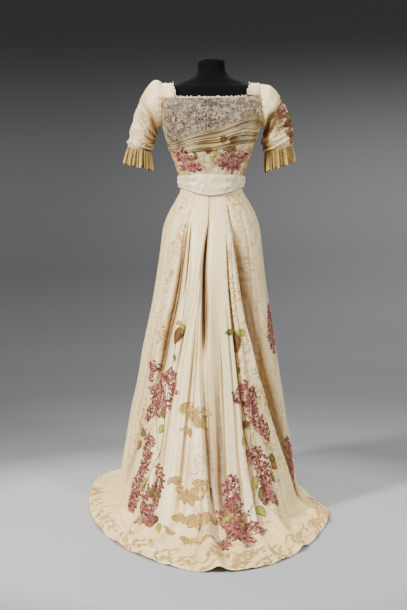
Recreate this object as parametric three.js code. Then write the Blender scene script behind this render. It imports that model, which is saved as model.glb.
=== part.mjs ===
// Afternoon dress of about 1900 with a short train, worn by a black limbless dress form.
// Every piece of cloth is a closed wall; seams and layers keep a small gap.
// Millimetres, +Z up. -Y is the wearer's front, +Y the back with the train, +X the wearer's left.
// The origin is on the floor, at the middle of the form's round base.
import * as THREE from "three";

// ---------------------------------------------------------------- driving dimensions
const CLOTH = 2; // wall of satin and silk
const FINE_CLOTH = 1.2; // wall of lace, chiffon and edging
const SEAM_GAP = 0.4; // between pieces sewn edge to edge
const PLACKET_GAP = 1.6; // between the two sides of the skirt's back opening
const LAYER_GAP = 1; // between a panel and what is sewn over it

const UNDERARM_Z = 1262; // where side seam and armhole meet
const FRONT_NECK_Z = 1322; // front neckline
const STRAP_INNER_X = 131; // strap edge at the neck
const STRAP_OUTER_X = 162; // strap edge at the armhole
const STRAP_TOP_Z = 1399.5; // outer face of the strap over the shoulder
const STRAP_FULLNESS = 0.75; // below 1 makes the strap's arc squarer
const CROWDING = 50; // degrees across a panel for which its strips crowd beside the armholes

const BASE_RADIUS = 150;
const BASE_HEIGHT = 8;
const POLE_RADIUS = 14;

const DEGREE = Math.PI / 180;

// ---------------------------------------------------------------- section tables
// Rings of the bodice's outer face: half widths to the side, back and front, the y of the side
// line (middle) and how round the ring is (2 is an ellipse, more is squarer).
const BODICE_RINGS = [
  { z: 1063, side: 103, back: 84, front: 95, middle: -4, round: 2.0 },
  { z: 1090, side: 109, back: 87, front: 102, middle: -5, round: 2.05 },
  { z: 1120, side: 119, back: 91, front: 112, middle: -6, round: 2.1 },
  { z: 1150, side: 130, back: 95, front: 124, middle: -7, round: 2.15 },
  { z: 1190, side: 145, back: 99, front: 140, middle: -8, round: 2.2 },
  { z: 1230, side: 158, back: 102, front: 150, middle: -9, round: 2.3 },
  { z: 1262, side: 166, back: 104, front: 152, middle: -10, round: 2.4 },
  { z: 1300, side: 174, back: 103, front: 144, middle: -11, round: 2.5 },
  { z: 1340, side: 180, back: 97, front: 126, middle: -12, round: 2.6 },
  { z: 1370, side: 182, back: 88, front: 106, middle: -12, round: 2.6 },
];

// The armhole's edge: how far from the middle the panels end at each height.
const ARMHOLE_EDGE = [
  { z: 1262, x: 166 },
  { z: 1276, x: 161.5 },
  { z: 1298, x: 160 },
  { z: 1322, x: 162 },
  { z: 1370, x: 162 },
];

// The back neckline, from the wearer's left (across 0) to the right (1), where it sits higher.
const BACK_NECKLINE = [
  { across: 0, z: 1351 },
  { across: 0.2, z: 1349.5 },
  { across: 0.4, z: 1346 },
  { across: 0.6, z: 1347 },
  { across: 0.8, z: 1356 },
  { across: 1, z: 1360 },
];

// The form: hips, waist, bust, shoulders and neck.
const FORM_RINGS = [
  { z: 812, side: 128, back: 112, front: 92, middle: 0, round: 2.1 },
  { z: 824, side: 144, back: 128, front: 106, middle: 0, round: 2.1 },
  { z: 860, side: 153, back: 134, front: 114, middle: 0, round: 2.1 },
  { z: 910, side: 150, back: 130, front: 112, middle: 0, round: 2.05 },
  { z: 965, side: 130, back: 110, front: 102, middle: -2, round: 2.0 },
  { z: 1005, side: 109, back: 93, front: 96, middle: -3, round: 2.0 },
  { z: 1040, side: 99.4, back: 82.4, front: 92.4, middle: -4, round: 2.0 },
  { z: 1063, side: 100.2, back: 81.2, front: 92, middle: -4, round: 2.0 },
  { z: 1090, side: 106.4, back: 84.4, front: 99.4, middle: -5, round: 2.05 },
  { z: 1120, side: 116, back: 88, front: 108, middle: -6, round: 2.1 },
  { z: 1150, side: 125, back: 91, front: 118, middle: -7, round: 2.15 },
  { z: 1190, side: 139, back: 94, front: 132, middle: -8, round: 2.2 },
  { z: 1230, side: 151, back: 96, front: 141, middle: -9, round: 2.3 },
  { z: 1262, side: 158, back: 98, front: 143, middle: -10, round: 2.4 },
  { z: 1300, side: 164, back: 97, front: 134, middle: -11, round: 2.5 },
  { z: 1340, side: 168, back: 90, front: 114, middle: -12, round: 2.6 },
  { z: 1362, side: 166, back: 82, front: 98, middle: -12, round: 2.6 },
  { z: 1380, side: 160, back: 72, front: 82, middle: -12, round: 2.6 },
  { z: 1390, side: 150, back: 60, front: 64, middle: -11, round: 2.5 },
  { z: 1396, side: 131, back: 50, front: 50, middle: -9, round: 2.4 },
  { z: 1403, side: 112, back: 54, front: 52, middle: -6, round: 2.3 },
  { z: 1411, side: 88, back: 51, front: 46, middle: -3, round: 2.2 },
  { z: 1422, side: 63, back: 49, front: 42, middle: 0, round: 2.1 },
  { z: 1437, side: 49, back: 46, front: 40, middle: 2, round: 2.0 },
  { z: 1450, side: 45.5, back: 44, front: 40, middle: 2, round: 2.0 },
  { z: 1465, side: 45, back: 42, front: 40, middle: 1, round: 2.0 },
  { z: 1475, side: 41, back: 38, front: 37, middle: 0, round: 2.0 },
  { z: 1481, side: 30, back: 28, front: 27, middle: 0, round: 2.0 },
];

// The skirt without its folds, from the waist (row 0) over hips and knees to the floor (row 13)
// and on along the floor to the hem (row 16). The left front corner is squarer where the cloth
// spreads on the floor.
const SKIRT_ROWS = [
  { z: 1062.6, left: 103, right: 103, back: 84, front: 95, middle: -4, leftSquare: 2 },
  { z: 1040, left: 105, right: 107, back: 87, front: 96, middle: -4, leftSquare: 2 },
  { z: 1005, left: 122, right: 127, back: 101, front: 103, middle: -3, leftSquare: 2 },
  { z: 965, left: 144, right: 149, back: 124, front: 115, middle: -2, leftSquare: 2 },
  { z: 910, left: 164, right: 166, back: 148, front: 127, middle: 0, leftSquare: 2 },
  { z: 820, left: 176, right: 177, back: 180, front: 141, middle: 0, leftSquare: 2 },
  { z: 700, left: 194, right: 191, back: 220, front: 156, middle: 0, leftSquare: 2 },
  { z: 585, left: 217, right: 209, back: 264, front: 175, middle: 0, leftSquare: 2 },
  { z: 470, left: 239, right: 227, back: 310, front: 196, middle: 0, leftSquare: 2 },
  { z: 355, left: 262, right: 248, back: 360, front: 218, middle: 2, leftSquare: 2 },
  { z: 240, left: 285, right: 265, back: 414, front: 241, middle: 6, leftSquare: 2.1 },
  { z: 130, left: 303, right: 284, back: 474, front: 262, middle: 16, leftSquare: 2.2 },
  { z: 55, left: 314, right: 297, back: 536, front: 280, middle: 32, leftSquare: 2.3 },
  { z: 14, left: 327, right: 311, back: 594, front: 294, middle: 54, leftSquare: 2.4 },
  { z: 3, left: 350, right: 331, back: 670, front: 304, middle: 84, leftSquare: 2.6 },
  { z: 2, left: 378, right: 354, back: 784, front: 316, middle: 118, leftSquare: 2.7 },
  { z: 2, left: 405, right: 381, back: 898, front: 328, middle: 152, leftSquare: 2.8 },
];

// How far the hem lies from its plain oval at angles round it: 0 is the wearer's left, 90 the
// centre back, 180 the right and 270 the centre front. The train lies a little askew.
const HEM_SHIFTS = [
  { angle: 0, x: 10, y: -70 },
  { angle: 30, x: 2, y: -52 },
  { angle: 60, x: -4, y: -32 },
  { angle: 90, x: 0, y: 0 },
  { angle: 150, x: 0, y: 12 },
  { angle: 165, x: 0, y: 60 },
  { angle: 180, x: -1, y: 140 },
  { angle: 193, x: 24, y: 90 },
  { angle: 212, x: 36, y: 10 },
  { angle: 240, x: 14, y: 0 },
  { angle: 270, x: 0, y: 0 },
  { angle: 325, x: 26, y: -32 },
  { angle: 360, x: 10, y: -70 },
];
const HEM_SHIFT_ROWS = { from: 10.5, to: 15.5 }; // rows over which the shift comes in

// Lines down the skirt, as the angle round the body at five rows.
const LINE_ROWS = [3.5, 5.5, 8, 13, 16];

const SEAMS = {
  frontLeft: { hip: -20, thigh: -21, knee: -22, floor: -24, hem: -26 },
  backLeft: { hip: 61, thigh: 53, knee: 47, floor: 45, hem: 43 },
  centreBack: { hip: 89, thigh: 83, knee: 86.5, floor: 91, hem: 95 },
  backRight: { hip: 115, thigh: 111.5, knee: 117, floor: 119, hem: 122 },
  frontRight: { hip: 200, thigh: 201, knee: 202, floor: 204, hem: 206 },
};

// Folds that hang from the hips, as troughs: the row where each begins, its depth in millimetres,
// half width in degrees, and how far its left side leans over it.
const SKIRT_FOLDS = [
  { name: "left side", hip: 32, thigh: 30, knee: 27, floor: 25, hem: 24, from: 3.8, depth: 10, width: 3.4, lean: 0 },
  { name: "left deep", hip: 61, thigh: 53, knee: 47, floor: 45, hem: 43, from: 2.8, depth: 32, width: 3.8, lean: 0 },
  { name: "left first", hip: 70, thigh: 66, knee: 60, floor: 56, hem: 53, from: 3.6, depth: 15, width: 2.4, lean: 0 },
  { name: "left second", hip: 84, thigh: 75, knee: 71, floor: 66, hem: 62, from: 3.2, depth: 20, width: 2.5, lean: 0 },
  { name: "left third", hip: 87, thigh: 79.5, knee: 79.5, floor: 79, hem: 78, from: 4.4, depth: 12, width: 1.8, lean: 0 },
  { name: "centre pleat", hip: 89, thigh: 83, knee: 86.5, floor: 91, hem: 95, from: 2.6, depth: 44, width: 2.8, lean: 8 },
  { name: "right first", hip: 102, thigh: 100, knee: 103, floor: 104, hem: 106, from: 4.2, depth: 10, width: 2.8, lean: 0 },
  { name: "right crease", hip: 115, thigh: 111.5, knee: 117, floor: 119, hem: 122, from: 2.4, depth: 20, width: 2.4, lean: 0 },
  { name: "right second", hip: 122, thigh: 121, knee: 128, floor: 136, hem: 140, from: 5.2, depth: 10, width: 2.6, lean: 0 },
  { name: "right deep", hip: 121, thigh: 129, knee: 141, floor: 153, hem: 157, from: 3.4, depth: 36, width: 4.4, lean: 0 },
  { name: "front right outer", hip: 212, thigh: 212, knee: 213, floor: 213, hem: 213, from: 5.5, depth: 14, width: 4.5, lean: 0 },
  { name: "front right inner", hip: 240, thigh: 239, knee: 238, floor: 236, hem: 235, from: 6, depth: 16, width: 4.5, lean: 0 },
  { name: "front middle", hip: 264, thigh: 264, knee: 265, floor: 266, hem: 267, from: 7, depth: 9, width: 5, lean: 0 },
  { name: "front left inner", hip: 292, thigh: 293, knee: 294, floor: 296, hem: 297, from: 6, depth: 15, width: 4.5, lean: 0 },
  { name: "front left outer", hip: 322, thigh: 322, knee: 322, floor: 322, hem: 322, from: 5.5, depth: 16, width: 4.5, lean: 0 },
];
const FOLD_GROWTH_ROWS = 5; // rows over which a fold deepens
const FOLD_FADE = { from: 12.2, to: 14.2 }; // rows over which it flattens on the floor

// Ridges that run on along the floor: angles at the floor and the hem, heights there, half width.
const FLOOR_RIDGES = [
  { name: "centre flap", floor: 86, hem: 92.5, height: 26, hemHeight: 17, width: 3.6 },
  { name: "left inner", floor: 74, hem: 72, height: 11, hemHeight: 3, width: 2.8 },
  { name: "left middle", floor: 63, hem: 60, height: 16, hemHeight: 5, width: 4.2 },
  { name: "left outer", floor: 49, hem: 47, height: 20, hemHeight: 6, width: 3.6 },
  { name: "left side", floor: 33, hem: 30, height: 13, hemHeight: 6, width: 5 },
  { name: "right inner", floor: 101, hem: 104, height: 12, hemHeight: 3, width: 4.5 },
  { name: "right middle", floor: 116, hem: 118, height: 9, hemHeight: 2, width: 2.4 },
  { name: "right outer", floor: 130, hem: 134, height: 20, hemHeight: 5, width: 4 },
  { name: "right side", floor: 162, hem: 166, height: 15, hemHeight: 7, width: 4 },
];
const RIDGE_ROWS = [10.5, 13.5, 16];

// Five gores, each between two seams, with the number of strips in its wall.
const GORES = [
  { name: "skirt_front", from: "frontRight", to: "frontLeft", turn: 360, strips: 18, colour: 0xe9dcc2 },
  { name: "skirt_side_left", from: "frontLeft", to: "backLeft", turn: 0, strips: 15, colour: 0xe7d8ba },
  { name: "skirt_side_right", from: "backRight", to: "frontRight", turn: 0, strips: 14, colour: 0xe7d8ba },
  { name: "skirt_back_left", from: "backLeft", to: "centreBack", turn: 0, strips: 21, colour: 0xece3cd },
  { name: "skirt_back_right", from: "centreBack", to: "backRight", turn: 0, strips: 21, colour: 0xece3cd },
];

// The pleated drape over the back: its edges from the wearer's left (across 0) to the right (1).
const DRAPE_EDGES = [
  { across: 0, bottom: 1172, top: 1190 },
  { across: 0.25, bottom: 1167, top: 1206 },
  { across: 0.5, bottom: 1174, top: 1242 },
  { across: 0.62, bottom: 1186, top: 1265 },
  { across: 0.75, bottom: 1198, top: 1288 },
  { across: 0.88, bottom: 1203, top: 1303 },
  { across: 1, bottom: 1206, top: 1306 },
];
const DRAPE_PLEATS = 4;
const DRAPE_PLEAT_HEIGHT = 5;

// The belt's outer face, from its top edge (row 0) to its bottom edge.
const BELT_ROWS = [
  { down: 0, side: 113, back: 92, front: 106, fold: 0 },
  { down: 0.22, side: 113.4, back: 93, front: 106.4, fold: 1.6 },
  { down: 0.42, side: 113, back: 93.5, front: 106, fold: 0 },
  { down: 0.65, side: 112.6, back: 95.5, front: 106.5, fold: 1.8 },
  { down: 0.86, side: 112, back: 97.5, front: 106.5, fold: 0 },
  { down: 1, side: 113, back: 100, front: 107.5, fold: 0 },
];
const BELT_TOP = { z: 1089, backRise: 6 };
const BELT_BOTTOM = { z: 1051, backDip: 26 };
const BELT_CLOTH = 2.5;

// Rings of a sleeve below its armhole: the outermost point, the point nearest the body, the half
// depth from front to back and the y of the ring's middle. x grows away from the body.
const LEFT_SLEEVE = [
  { outerX: 177, outerZ: 1411, innerX: 171, innerZ: 1257, half: 72, y: -9 },
  { outerX: 199, outerZ: 1410, innerX: 175, innerZ: 1250, half: 74, y: -9 },
  { outerX: 224, outerZ: 1383, innerX: 179, innerZ: 1243, half: 70, y: -10 },
  { outerX: 242, outerZ: 1346, innerX: 182, innerZ: 1234, half: 64, y: -11 },
  { outerX: 254, outerZ: 1310, innerX: 185, innerZ: 1223, half: 58, y: -12 },
  { outerX: 267, outerZ: 1267, innerX: 189, innerZ: 1208, half: 53, y: -13 },
  { outerX: 277, outerZ: 1226, innerX: 194, innerZ: 1193, half: 50, y: -14 },
  { outerX: 283, outerZ: 1203, innerX: 200, innerZ: 1181, half: 47, y: -14 },
  { outerX: 284, outerZ: 1188, innerX: 207, innerZ: 1170, half: 43, y: -14 },
];
const RIGHT_SLEEVE = [
  { outerX: 178, outerZ: 1398, innerX: 171, innerZ: 1257, half: 72, y: -9 },
  { outerX: 203, outerZ: 1394, innerX: 173, innerZ: 1250, half: 75, y: -9 },
  { outerX: 227, outerZ: 1371, innerX: 174, innerZ: 1241, half: 72, y: -10 },
  { outerX: 242, outerZ: 1340, innerX: 175, innerZ: 1230, half: 67, y: -11 },
  { outerX: 255, outerZ: 1311, innerX: 175, innerZ: 1217, half: 63, y: -12 },
  { outerX: 269, outerZ: 1276, innerX: 175, innerZ: 1204, half: 56, y: -13 },
  { outerX: 275, outerZ: 1242, innerX: 175, innerZ: 1190, half: 54, y: -14 },
  { outerX: 278, outerZ: 1212, innerX: 177, innerZ: 1177, half: 51, y: -14 },
  { outerX: 276, outerZ: 1192, innerX: 181, innerZ: 1167, half: 46, y: -14 },
];
const SLEEVE_STRIPS = 24;

// Rings of a ruffle below its cuff seam, in the same terms, with the height of its waves.
const LEFT_RUFFLE = [
  { outerX: 286, outerZ: 1179, innerX: 206, innerZ: 1161, half: 45, y: -14, wave: 2.5 },
  { outerX: 292, outerZ: 1156, innerX: 205, innerZ: 1134, half: 49, y: -14, wave: 4.5 },
  { outerX: 297, outerZ: 1132, innerX: 204, innerZ: 1109, half: 53, y: -14, wave: 6 },
];
const RIGHT_RUFFLE = [
  { outerX: 277, outerZ: 1182, innerX: 182, innerZ: 1158, half: 47, y: -14, wave: 2.5 },
  { outerX: 280, outerZ: 1160, innerX: 183, innerZ: 1130, half: 50, y: -14, wave: 4.5 },
  { outerX: 282, outerZ: 1137, innerX: 184, innerZ: 1102, half: 54, y: -14, wave: 6 },
];
const RUFFLE_WAVES = 14;
const STRIPS_PER_WAVE = 4;

const EDGING_HEIGHT = 7; // how far the lace edging stands beyond the neckline
const EDGING_WAVE = 1; // how far its scallops swing in and out

// ---------------------------------------------------------------- curves through tables
// A smooth curve through (xs, ys) that never overshoots its points.
function smoothThrough(xs, ys, x) {
  const last = xs.length - 1;
  const inside = Math.min(Math.max(x, xs[0]), xs[last]);
  let i = 0;
  while (i < last - 1 && inside > xs[i + 1]) i += 1;
  const secant = (k) => (ys[k + 1] - ys[k]) / (xs[k + 1] - xs[k]);
  const slope = (k) => {
    if (k === 0) return secant(0);
    if (k === last) return secant(last - 1);
    const [before, after] = [secant(k - 1), secant(k)];
    return before * after > 0 ? (2 * before * after) / (before + after) : 0;
  };
  const width = xs[i + 1] - xs[i];
  const t = (inside - xs[i]) / width;
  const rise = t * t * (3 - 2 * t);
  const bend = width * t * (1 - t) * ((1 - t) * slope(i) - t * slope(i + 1));
  return ys[i] + (ys[i + 1] - ys[i]) * rise + bend;
}

// One row read from a table at a place between its rows, by the column that orders it.
function between(rows, key, value) {
  const keys = rows.map((row) => row[key]);
  const made = {};
  for (const column of Object.keys(rows[0])) {
    made[column] = column === key ? value : smoothThrough(keys, rows.map((row) => row[column]), value);
  }
  return made;
}

// The skirt's table read at a row number that need not be whole.
const skirtRowAt = (row) => {
  const numbers = SKIRT_ROWS.map((_, k) => k);
  const made = {};
  for (const column of Object.keys(SKIRT_ROWS[0])) {
    made[column] = smoothThrough(numbers, SKIRT_ROWS.map((r) => r[column]), row);
  }
  return made;
};

// From 0 at one value to 1 at the other; it may run either way.
const smoothStep = (from, to, x) => {
  const t = Math.min(Math.max((x - from) / (to - from), 0), 1);
  return t * t * (3 - 2 * t);
};
const bump = (x, middle, width) => Math.exp(-(((x - middle) / width) ** 2));
const signedPower = (x, power) => Math.sign(x) * Math.abs(x) ** power;

// ---------------------------------------------------------------- rings
// A point of a ring at an angle in degrees, moved out by lift.
function ringPoint(ring, angle, lift = 0) {
  const [c, s] = [Math.cos(angle * DEGREE), Math.sin(angle * DEGREE)];
  const reach = (s > 0 ? ring.back - ring.middle : ring.front + ring.middle) + lift;
  const power = 2 / ring.round;
  return new THREE.Vector3(
    (ring.side + lift) * signedPower(c, power),
    ring.middle + reach * signedPower(s, power),
    ring.z,
  );
}

// The angle at which the bodice's panels end at height z: the side seam, or the armhole above it.
function edgeAngle(z) {
  if (z <= UNDERARM_Z) return 0;
  const ring = between(BODICE_RINGS, "z", z);
  const x = between(ARMHOLE_EDGE, "z", z).x;
  return Math.acos(Math.min(1, (x / ring.side) ** (ring.round / 2))) / DEGREE;
}

// How far round a panel a point is: half a turn shared evenly, crowded only beside the armholes.
function panelAngle(across, z) {
  const share = Math.min(across, 1 - across);
  const angle = Math.max(180 * share, edgeAngle(z) + CROWDING * share);
  return across < 0.5 ? angle : 180 - angle;
}

// The bodice back: across runs from the wearer's left edge (0) to the right edge (1).
const backPoint = (across, z, lift) =>
  ringPoint(between(BODICE_RINGS, "z", z), panelAngle(across, z), lift);

// The bodice front: across runs from the wearer's right edge (0) to the left edge (1).
const frontPoint = (across, z, lift) =>
  ringPoint(between(BODICE_RINGS, "z", z), 180 + panelAngle(across, z), lift);

const backNeckZ = (across) => between(BACK_NECKLINE, "across", across).z;

// ---------------------------------------------------------------- walls
// A closed wall between two grids of points, [row][column]. A ring wall closes on itself.
function wall(outer, inner, ring = false) {
  const [rows, columns] = [outer.length, outer[0].length];
  const positions = [...outer.flat(), ...inner.flat()].flatMap((p) => [p.x, p.y, p.z]);
  const index = [];
  const at = (side, r, c) => side * rows * columns + r * columns + (c % columns);
  const quad = (a, b, c, d) => index.push(a, b, c, a, c, d);
  const strips = ring ? columns : columns - 1;
  for (let r = 0; r < rows - 1; r += 1) {
    for (let c = 0; c < strips; c += 1) {
      quad(at(0, r, c), at(0, r, c + 1), at(0, r + 1, c + 1), at(0, r + 1, c));
      quad(at(1, r, c), at(1, r + 1, c), at(1, r + 1, c + 1), at(1, r, c + 1));
    }
  }
  for (let c = 0; c < strips; c += 1) {
    const end = rows - 1;
    quad(at(0, 0, c), at(1, 0, c), at(1, 0, c + 1), at(0, 0, c + 1));
    quad(at(0, end, c), at(0, end, c + 1), at(1, end, c + 1), at(1, end, c));
  }
  for (let r = 0; r < rows - 1 && !ring; r += 1) {
    const end = columns - 1;
    quad(at(0, r, 0), at(0, r + 1, 0), at(1, r + 1, 0), at(1, r, 0));
    quad(at(0, r, end), at(1, r, end), at(1, r + 1, end), at(0, r + 1, end));
  }
  return facingOut(positions, index);
}

// A geometry whose faces point out, whichever way its grid was laid.
function facingOut(positions, index) {
  const corner = (i) => new THREE.Vector3().fromArray(positions, 3 * index[i]);
  let volume = 0;
  for (let i = 0; i < index.length; i += 3) {
    volume += corner(i).dot(corner(i + 1).cross(corner(i + 2)));
  }
  if (volume < 0) index.reverse();
  const geometry = new THREE.BufferGeometry();
  geometry.setAttribute("position", new THREE.Float32BufferAttribute(positions, 3));
  geometry.setIndex(index);
  geometry.computeVertexNormals();
  return geometry;
}

// A solid through stacked rings, closed by a flat face at each end.
function stack(rings) {
  const columns = rings[0].length;
  const middle = (ring) => ring.reduce((sum, p) => sum.add(p), new THREE.Vector3()).divideScalar(columns);
  const points = [...rings.flat(), middle(rings[0]), middle(rings.at(-1))];
  const index = [];
  const at = (r, c) => r * columns + (c % columns);
  for (let c = 0; c < columns; c += 1) {
    for (let r = 0; r < rings.length - 1; r += 1) {
      index.push(at(r, c), at(r, c + 1), at(r + 1, c + 1), at(r, c), at(r + 1, c + 1), at(r + 1, c));
    }
    index.push(points.length - 2, at(0, c + 1), at(0, c));
    index.push(points.length - 1, at(rings.length - 1, c), at(rings.length - 1, c + 1));
  }
  return facingOut(points.flatMap((p) => [p.x, p.y, p.z]), index);
}

// n + 1 even steps from 0 to 1.
const steps = (n) => Array.from({ length: n + 1 }, (_, k) => k / n);
// Each point of a ring moved towards the ring's middle.
function movedIn(points, distance) {
  const middle = points.reduce((sum, p) => sum.add(p), new THREE.Vector3()).divideScalar(points.length);
  return points.map((p) => p.clone().add(middle.clone().sub(p).setLength(distance)));
}

// ---------------------------------------------------------------- skirt
const lineAngle = (line, row) =>
  smoothThrough(LINE_ROWS, [line.hip, line.thigh, line.knee, line.floor, line.hem], row);

// The angle from a line to the one asked for, the short way round.
const angleFrom = (line, angle) => ((((angle - line + 180) % 360) + 360) % 360) - 180;

// The skirt without folds.
function smoothSkirt(angle, row) {
  const section = skirtRowAt(row);
  const [c, s] = [Math.cos(angle * DEGREE), Math.sin(angle * DEGREE)];
  const power = c > 0 && s < 0 ? 2 / section.leftSquare : 1;
  const reach = s > 0 ? section.back - section.middle : section.front + section.middle;
  const shift = between(HEM_SHIFTS, "angle", ((angle % 360) + 360) % 360);
  const share = smoothStep(HEM_SHIFT_ROWS.from, HEM_SHIFT_ROWS.to, row);
  return new THREE.Vector3(
    (c > 0 ? section.left : section.right) * signedPower(c, power) + shift.x * share,
    section.middle + reach * signedPower(s, power) + shift.y * share,
    section.z,
  );
}

// The two directions along a surface at (angle, row), and the one that points out of it.
function directions(surface, angle, row) {
  const [turn, step] = [0.4, 0.05];
  const low = Math.max(0, row - step);
  const high = Math.min(SKIRT_ROWS.length - 1, row + step);
  const along = surface(angle + turn, row).sub(surface(angle - turn, row)).normalize();
  const down = surface(angle, high).sub(surface(angle, low)).normalize();
  return { along, out: down.clone().cross(along).normalize() };
}

const foldStrength = (fold, row) =>
  smoothStep(fold.from, fold.from + FOLD_GROWTH_ROWS, row) *
  (1 - smoothStep(FOLD_FADE.from, FOLD_FADE.to, row));

// The skirt's outer face, with its folds and the ridges that run along the floor.
function skirtPoint(angle, row) {
  const { along, out } = directions(smoothSkirt, angle, row);
  let [depth, lean, height] = [0, 0, 0];
  for (const fold of SKIRT_FOLDS) {
    const off = angleFrom(lineAngle(fold, row), angle);
    depth += fold.depth * foldStrength(fold, row) * bump(off, 0, fold.width);
    lean += fold.lean * foldStrength(fold, row) * bump(off, -fold.width, fold.width);
  }
  for (const ridge of FLOOR_RIDGES) {
    const middle = smoothThrough([13, 16], [ridge.floor, ridge.hem], row);
    const rise = smoothThrough(RIDGE_ROWS, [0, ridge.height, ridge.hemHeight], row);
    height += rise * bump(angleFrom(middle, angle), 0, ridge.width);
  }
  const point = smoothSkirt(angle, row).addScaledVector(out, height - depth).addScaledVector(along, lean);
  point.z = Math.max(point.z, CLOTH);
  return point;
}

// Angles of a gore's strips at one row, closer together where folds are.
function goreAngles(gore, row) {
  const from = lineAngle(SEAMS[gore.from], row);
  const to = lineAngle(SEAMS[gore.to], row) + gore.turn;
  const samples = steps(240).map((t) => from + (to - from) * t);
  const crowding = (angle) =>
    SKIRT_FOLDS.reduce(
      (sum, fold) => sum + 3.2 * bump(angleFrom(lineAngle(fold, row), angle), 0, 1.4 * fold.width),
      1,
    );
  const total = [0];
  samples.slice(1).forEach((angle, k) => total.push(total[k] + crowding(angle)));
  return steps(gore.strips).map((share) => {
    const wanted = share * total.at(-1);
    const k = Math.max(1, total.findIndex((sum) => sum >= wanted - 1e-9));
    const part = (wanted - total[k - 1]) / (total[k] - total[k - 1]);
    return samples[k - 1] + (samples[k] - samples[k - 1]) * part;
  });
}

// Half the gap at a seam: wide along the placket, narrow elsewhere.
function halfGap(seam, row) {
  if (seam !== "centreBack") return SEAM_GAP / 2;
  return (PLACKET_GAP + (SEAM_GAP - PLACKET_GAP) * smoothStep(3, 4.5, row)) / 2;
}

function makeGore(gore) {
  const outer = [];
  const inner = [];
  SKIRT_ROWS.forEach((_, row) => {
    const angles = goreAngles(gore, row);
    const [outerRow, innerRow] = [[], []];
    angles.forEach((angle, k) => {
      const { along, out } = directions(skirtPoint, angle, row);
      const point = skirtPoint(angle, row);
      if (k === 0) point.addScaledVector(along, halfGap(gore.from, row));
      if (k === angles.length - 1) point.addScaledVector(along, -halfGap(gore.to, row));
      const inside = point.clone().addScaledVector(out, -CLOTH);
      inside.z = Math.max(0, Math.min(inside.z, point.z - 0.3));
      outerRow.push(point);
      innerRow.push(inside);
    });
    outer.push(outerRow);
    inner.push(innerRow);
  });
  return wall(outer, inner);
}

// ---------------------------------------------------------------- bodice
const BODICE_HEIGHTS = [1063, 1090, 1120, 1155, 1195, 1235, 1262, 1267, 1278, 1302, 1328];
const PANEL_STRIPS = 20;

// A panel from the waist to its neckline.
function makePanel(panelPoint, neckZ) {
  const grid = (lift) => {
    const rows = BODICE_HEIGHTS.map((z) => steps(PANEL_STRIPS).map((across) => [across, z]));
    rows.push(steps(PANEL_STRIPS).map((across) => [across, neckZ(across)]));
    return rows
      .filter((row) => row[0][1] <= neckZ(0))
      .map((row) => row.map(([across, z]) => inset(panelPoint, across, z, lift)));
  };
  return wall(grid(0), grid(-CLOTH));
}

// A panel's point, its edge columns held back by half a seam gap.
function inset(panelPoint, across, z, lift) {
  const point = panelPoint(across, z, lift);
  const towards = panelPoint(across < 0.5 ? across + 0.01 : across - 0.01, z, lift).sub(point);
  return across === 0 || across === 1 ? point.add(towards.setLength(SEAM_GAP / 2)) : point;
}

// A strap over one shoulder: across runs from the neck (0) to the armhole (1), along from back to front.
function strapPoint(side, across, along, lift = 0) {
  const x = STRAP_INNER_X + (STRAP_OUTER_X - STRAP_INNER_X) * across;
  const ends = [
    { z: backNeckZ(side > 0 ? 0 : 1) + SEAM_GAP, sense: 1 },
    { z: FRONT_NECK_Z + SEAM_GAP, sense: -1 },
  ].map(({ z, sense }) => {
    const ring = between(BODICE_RINGS, "z", z);
    const angle = Math.acos((x / ring.side) ** (ring.round / 2)) / DEGREE;
    return ringPoint(ring, sense * angle);
  });
  const turn = Math.PI * along;
  const low = ends[0].z + (ends[1].z - ends[0].z) * along;
  const middleY = (ends[0].y + ends[1].y) / 2;
  const halfY = (ends[0].y - ends[1].y) / 2 + lift;
  const rise = Math.sin(turn) ** STRAP_FULLNESS;
  return new THREE.Vector3(side * x, middleY + halfY * Math.cos(turn), low + (STRAP_TOP_Z + lift - low) * rise);
}

function makeStrap(side) {
  const grid = (lift) =>
    steps(16).map((along) => steps(3).map((across) => strapPoint(side, across, along, lift)));
  return wall(grid(0), grid(-CLOTH));
}

// A layer over the bodice back between two edges, with its outer points raised by relief.
function makeBackLayer({ rows, bottomZ, topZ, thickness, left, right, relief }) {
  const grid = (raised) =>
    steps(rows).map((up) =>
      steps(PANEL_STRIPS).map((share) => {
        const across = Math.min(Math.max(share, left), right);
        const z = bottomZ(across) + (topZ(across) - bottomZ(across)) * up;
        const lift = LAYER_GAP + (raised ? thickness + relief(across, up) : 0);
        return backPoint(across, z, lift);
      }),
    );
  return wall(grid(true), grid(false));
}

const drapeEdge = (across) => between(DRAPE_EDGES, "across", across);

function makeLace() {
  return makeBackLayer({
    rows: 8,
    bottomZ: (across) => drapeEdge(across).top + SEAM_GAP,
    topZ: (across) => backNeckZ(across) - SEAM_GAP,
    thickness: FINE_CLOTH,
    left: 0.062,
    right: 0.982,
    relief: () => 0,
  });
}

function makeDrape() {
  const rowsPerPleat = 3;
  return makeBackLayer({
    rows: DRAPE_PLEATS * rowsPerPleat,
    bottomZ: (across) => drapeEdge(across).bottom,
    topZ: (across) => drapeEdge(across).top,
    thickness: CLOTH,
    left: 0.01,
    right: 0.955,
    relief: (across, up) => {
      const phase = (up * DRAPE_PLEATS) % 1;
      const spread = (0.4 + 0.6 * smoothStep(0, 0.8, across)) * smoothStep(1, 0.88, across);
      return up < 1 && phase > 0.01 ? DRAPE_PLEAT_HEIGHT * spread * Math.sin(Math.PI * phase ** 1.4) : 0;
    },
  });
}

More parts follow.
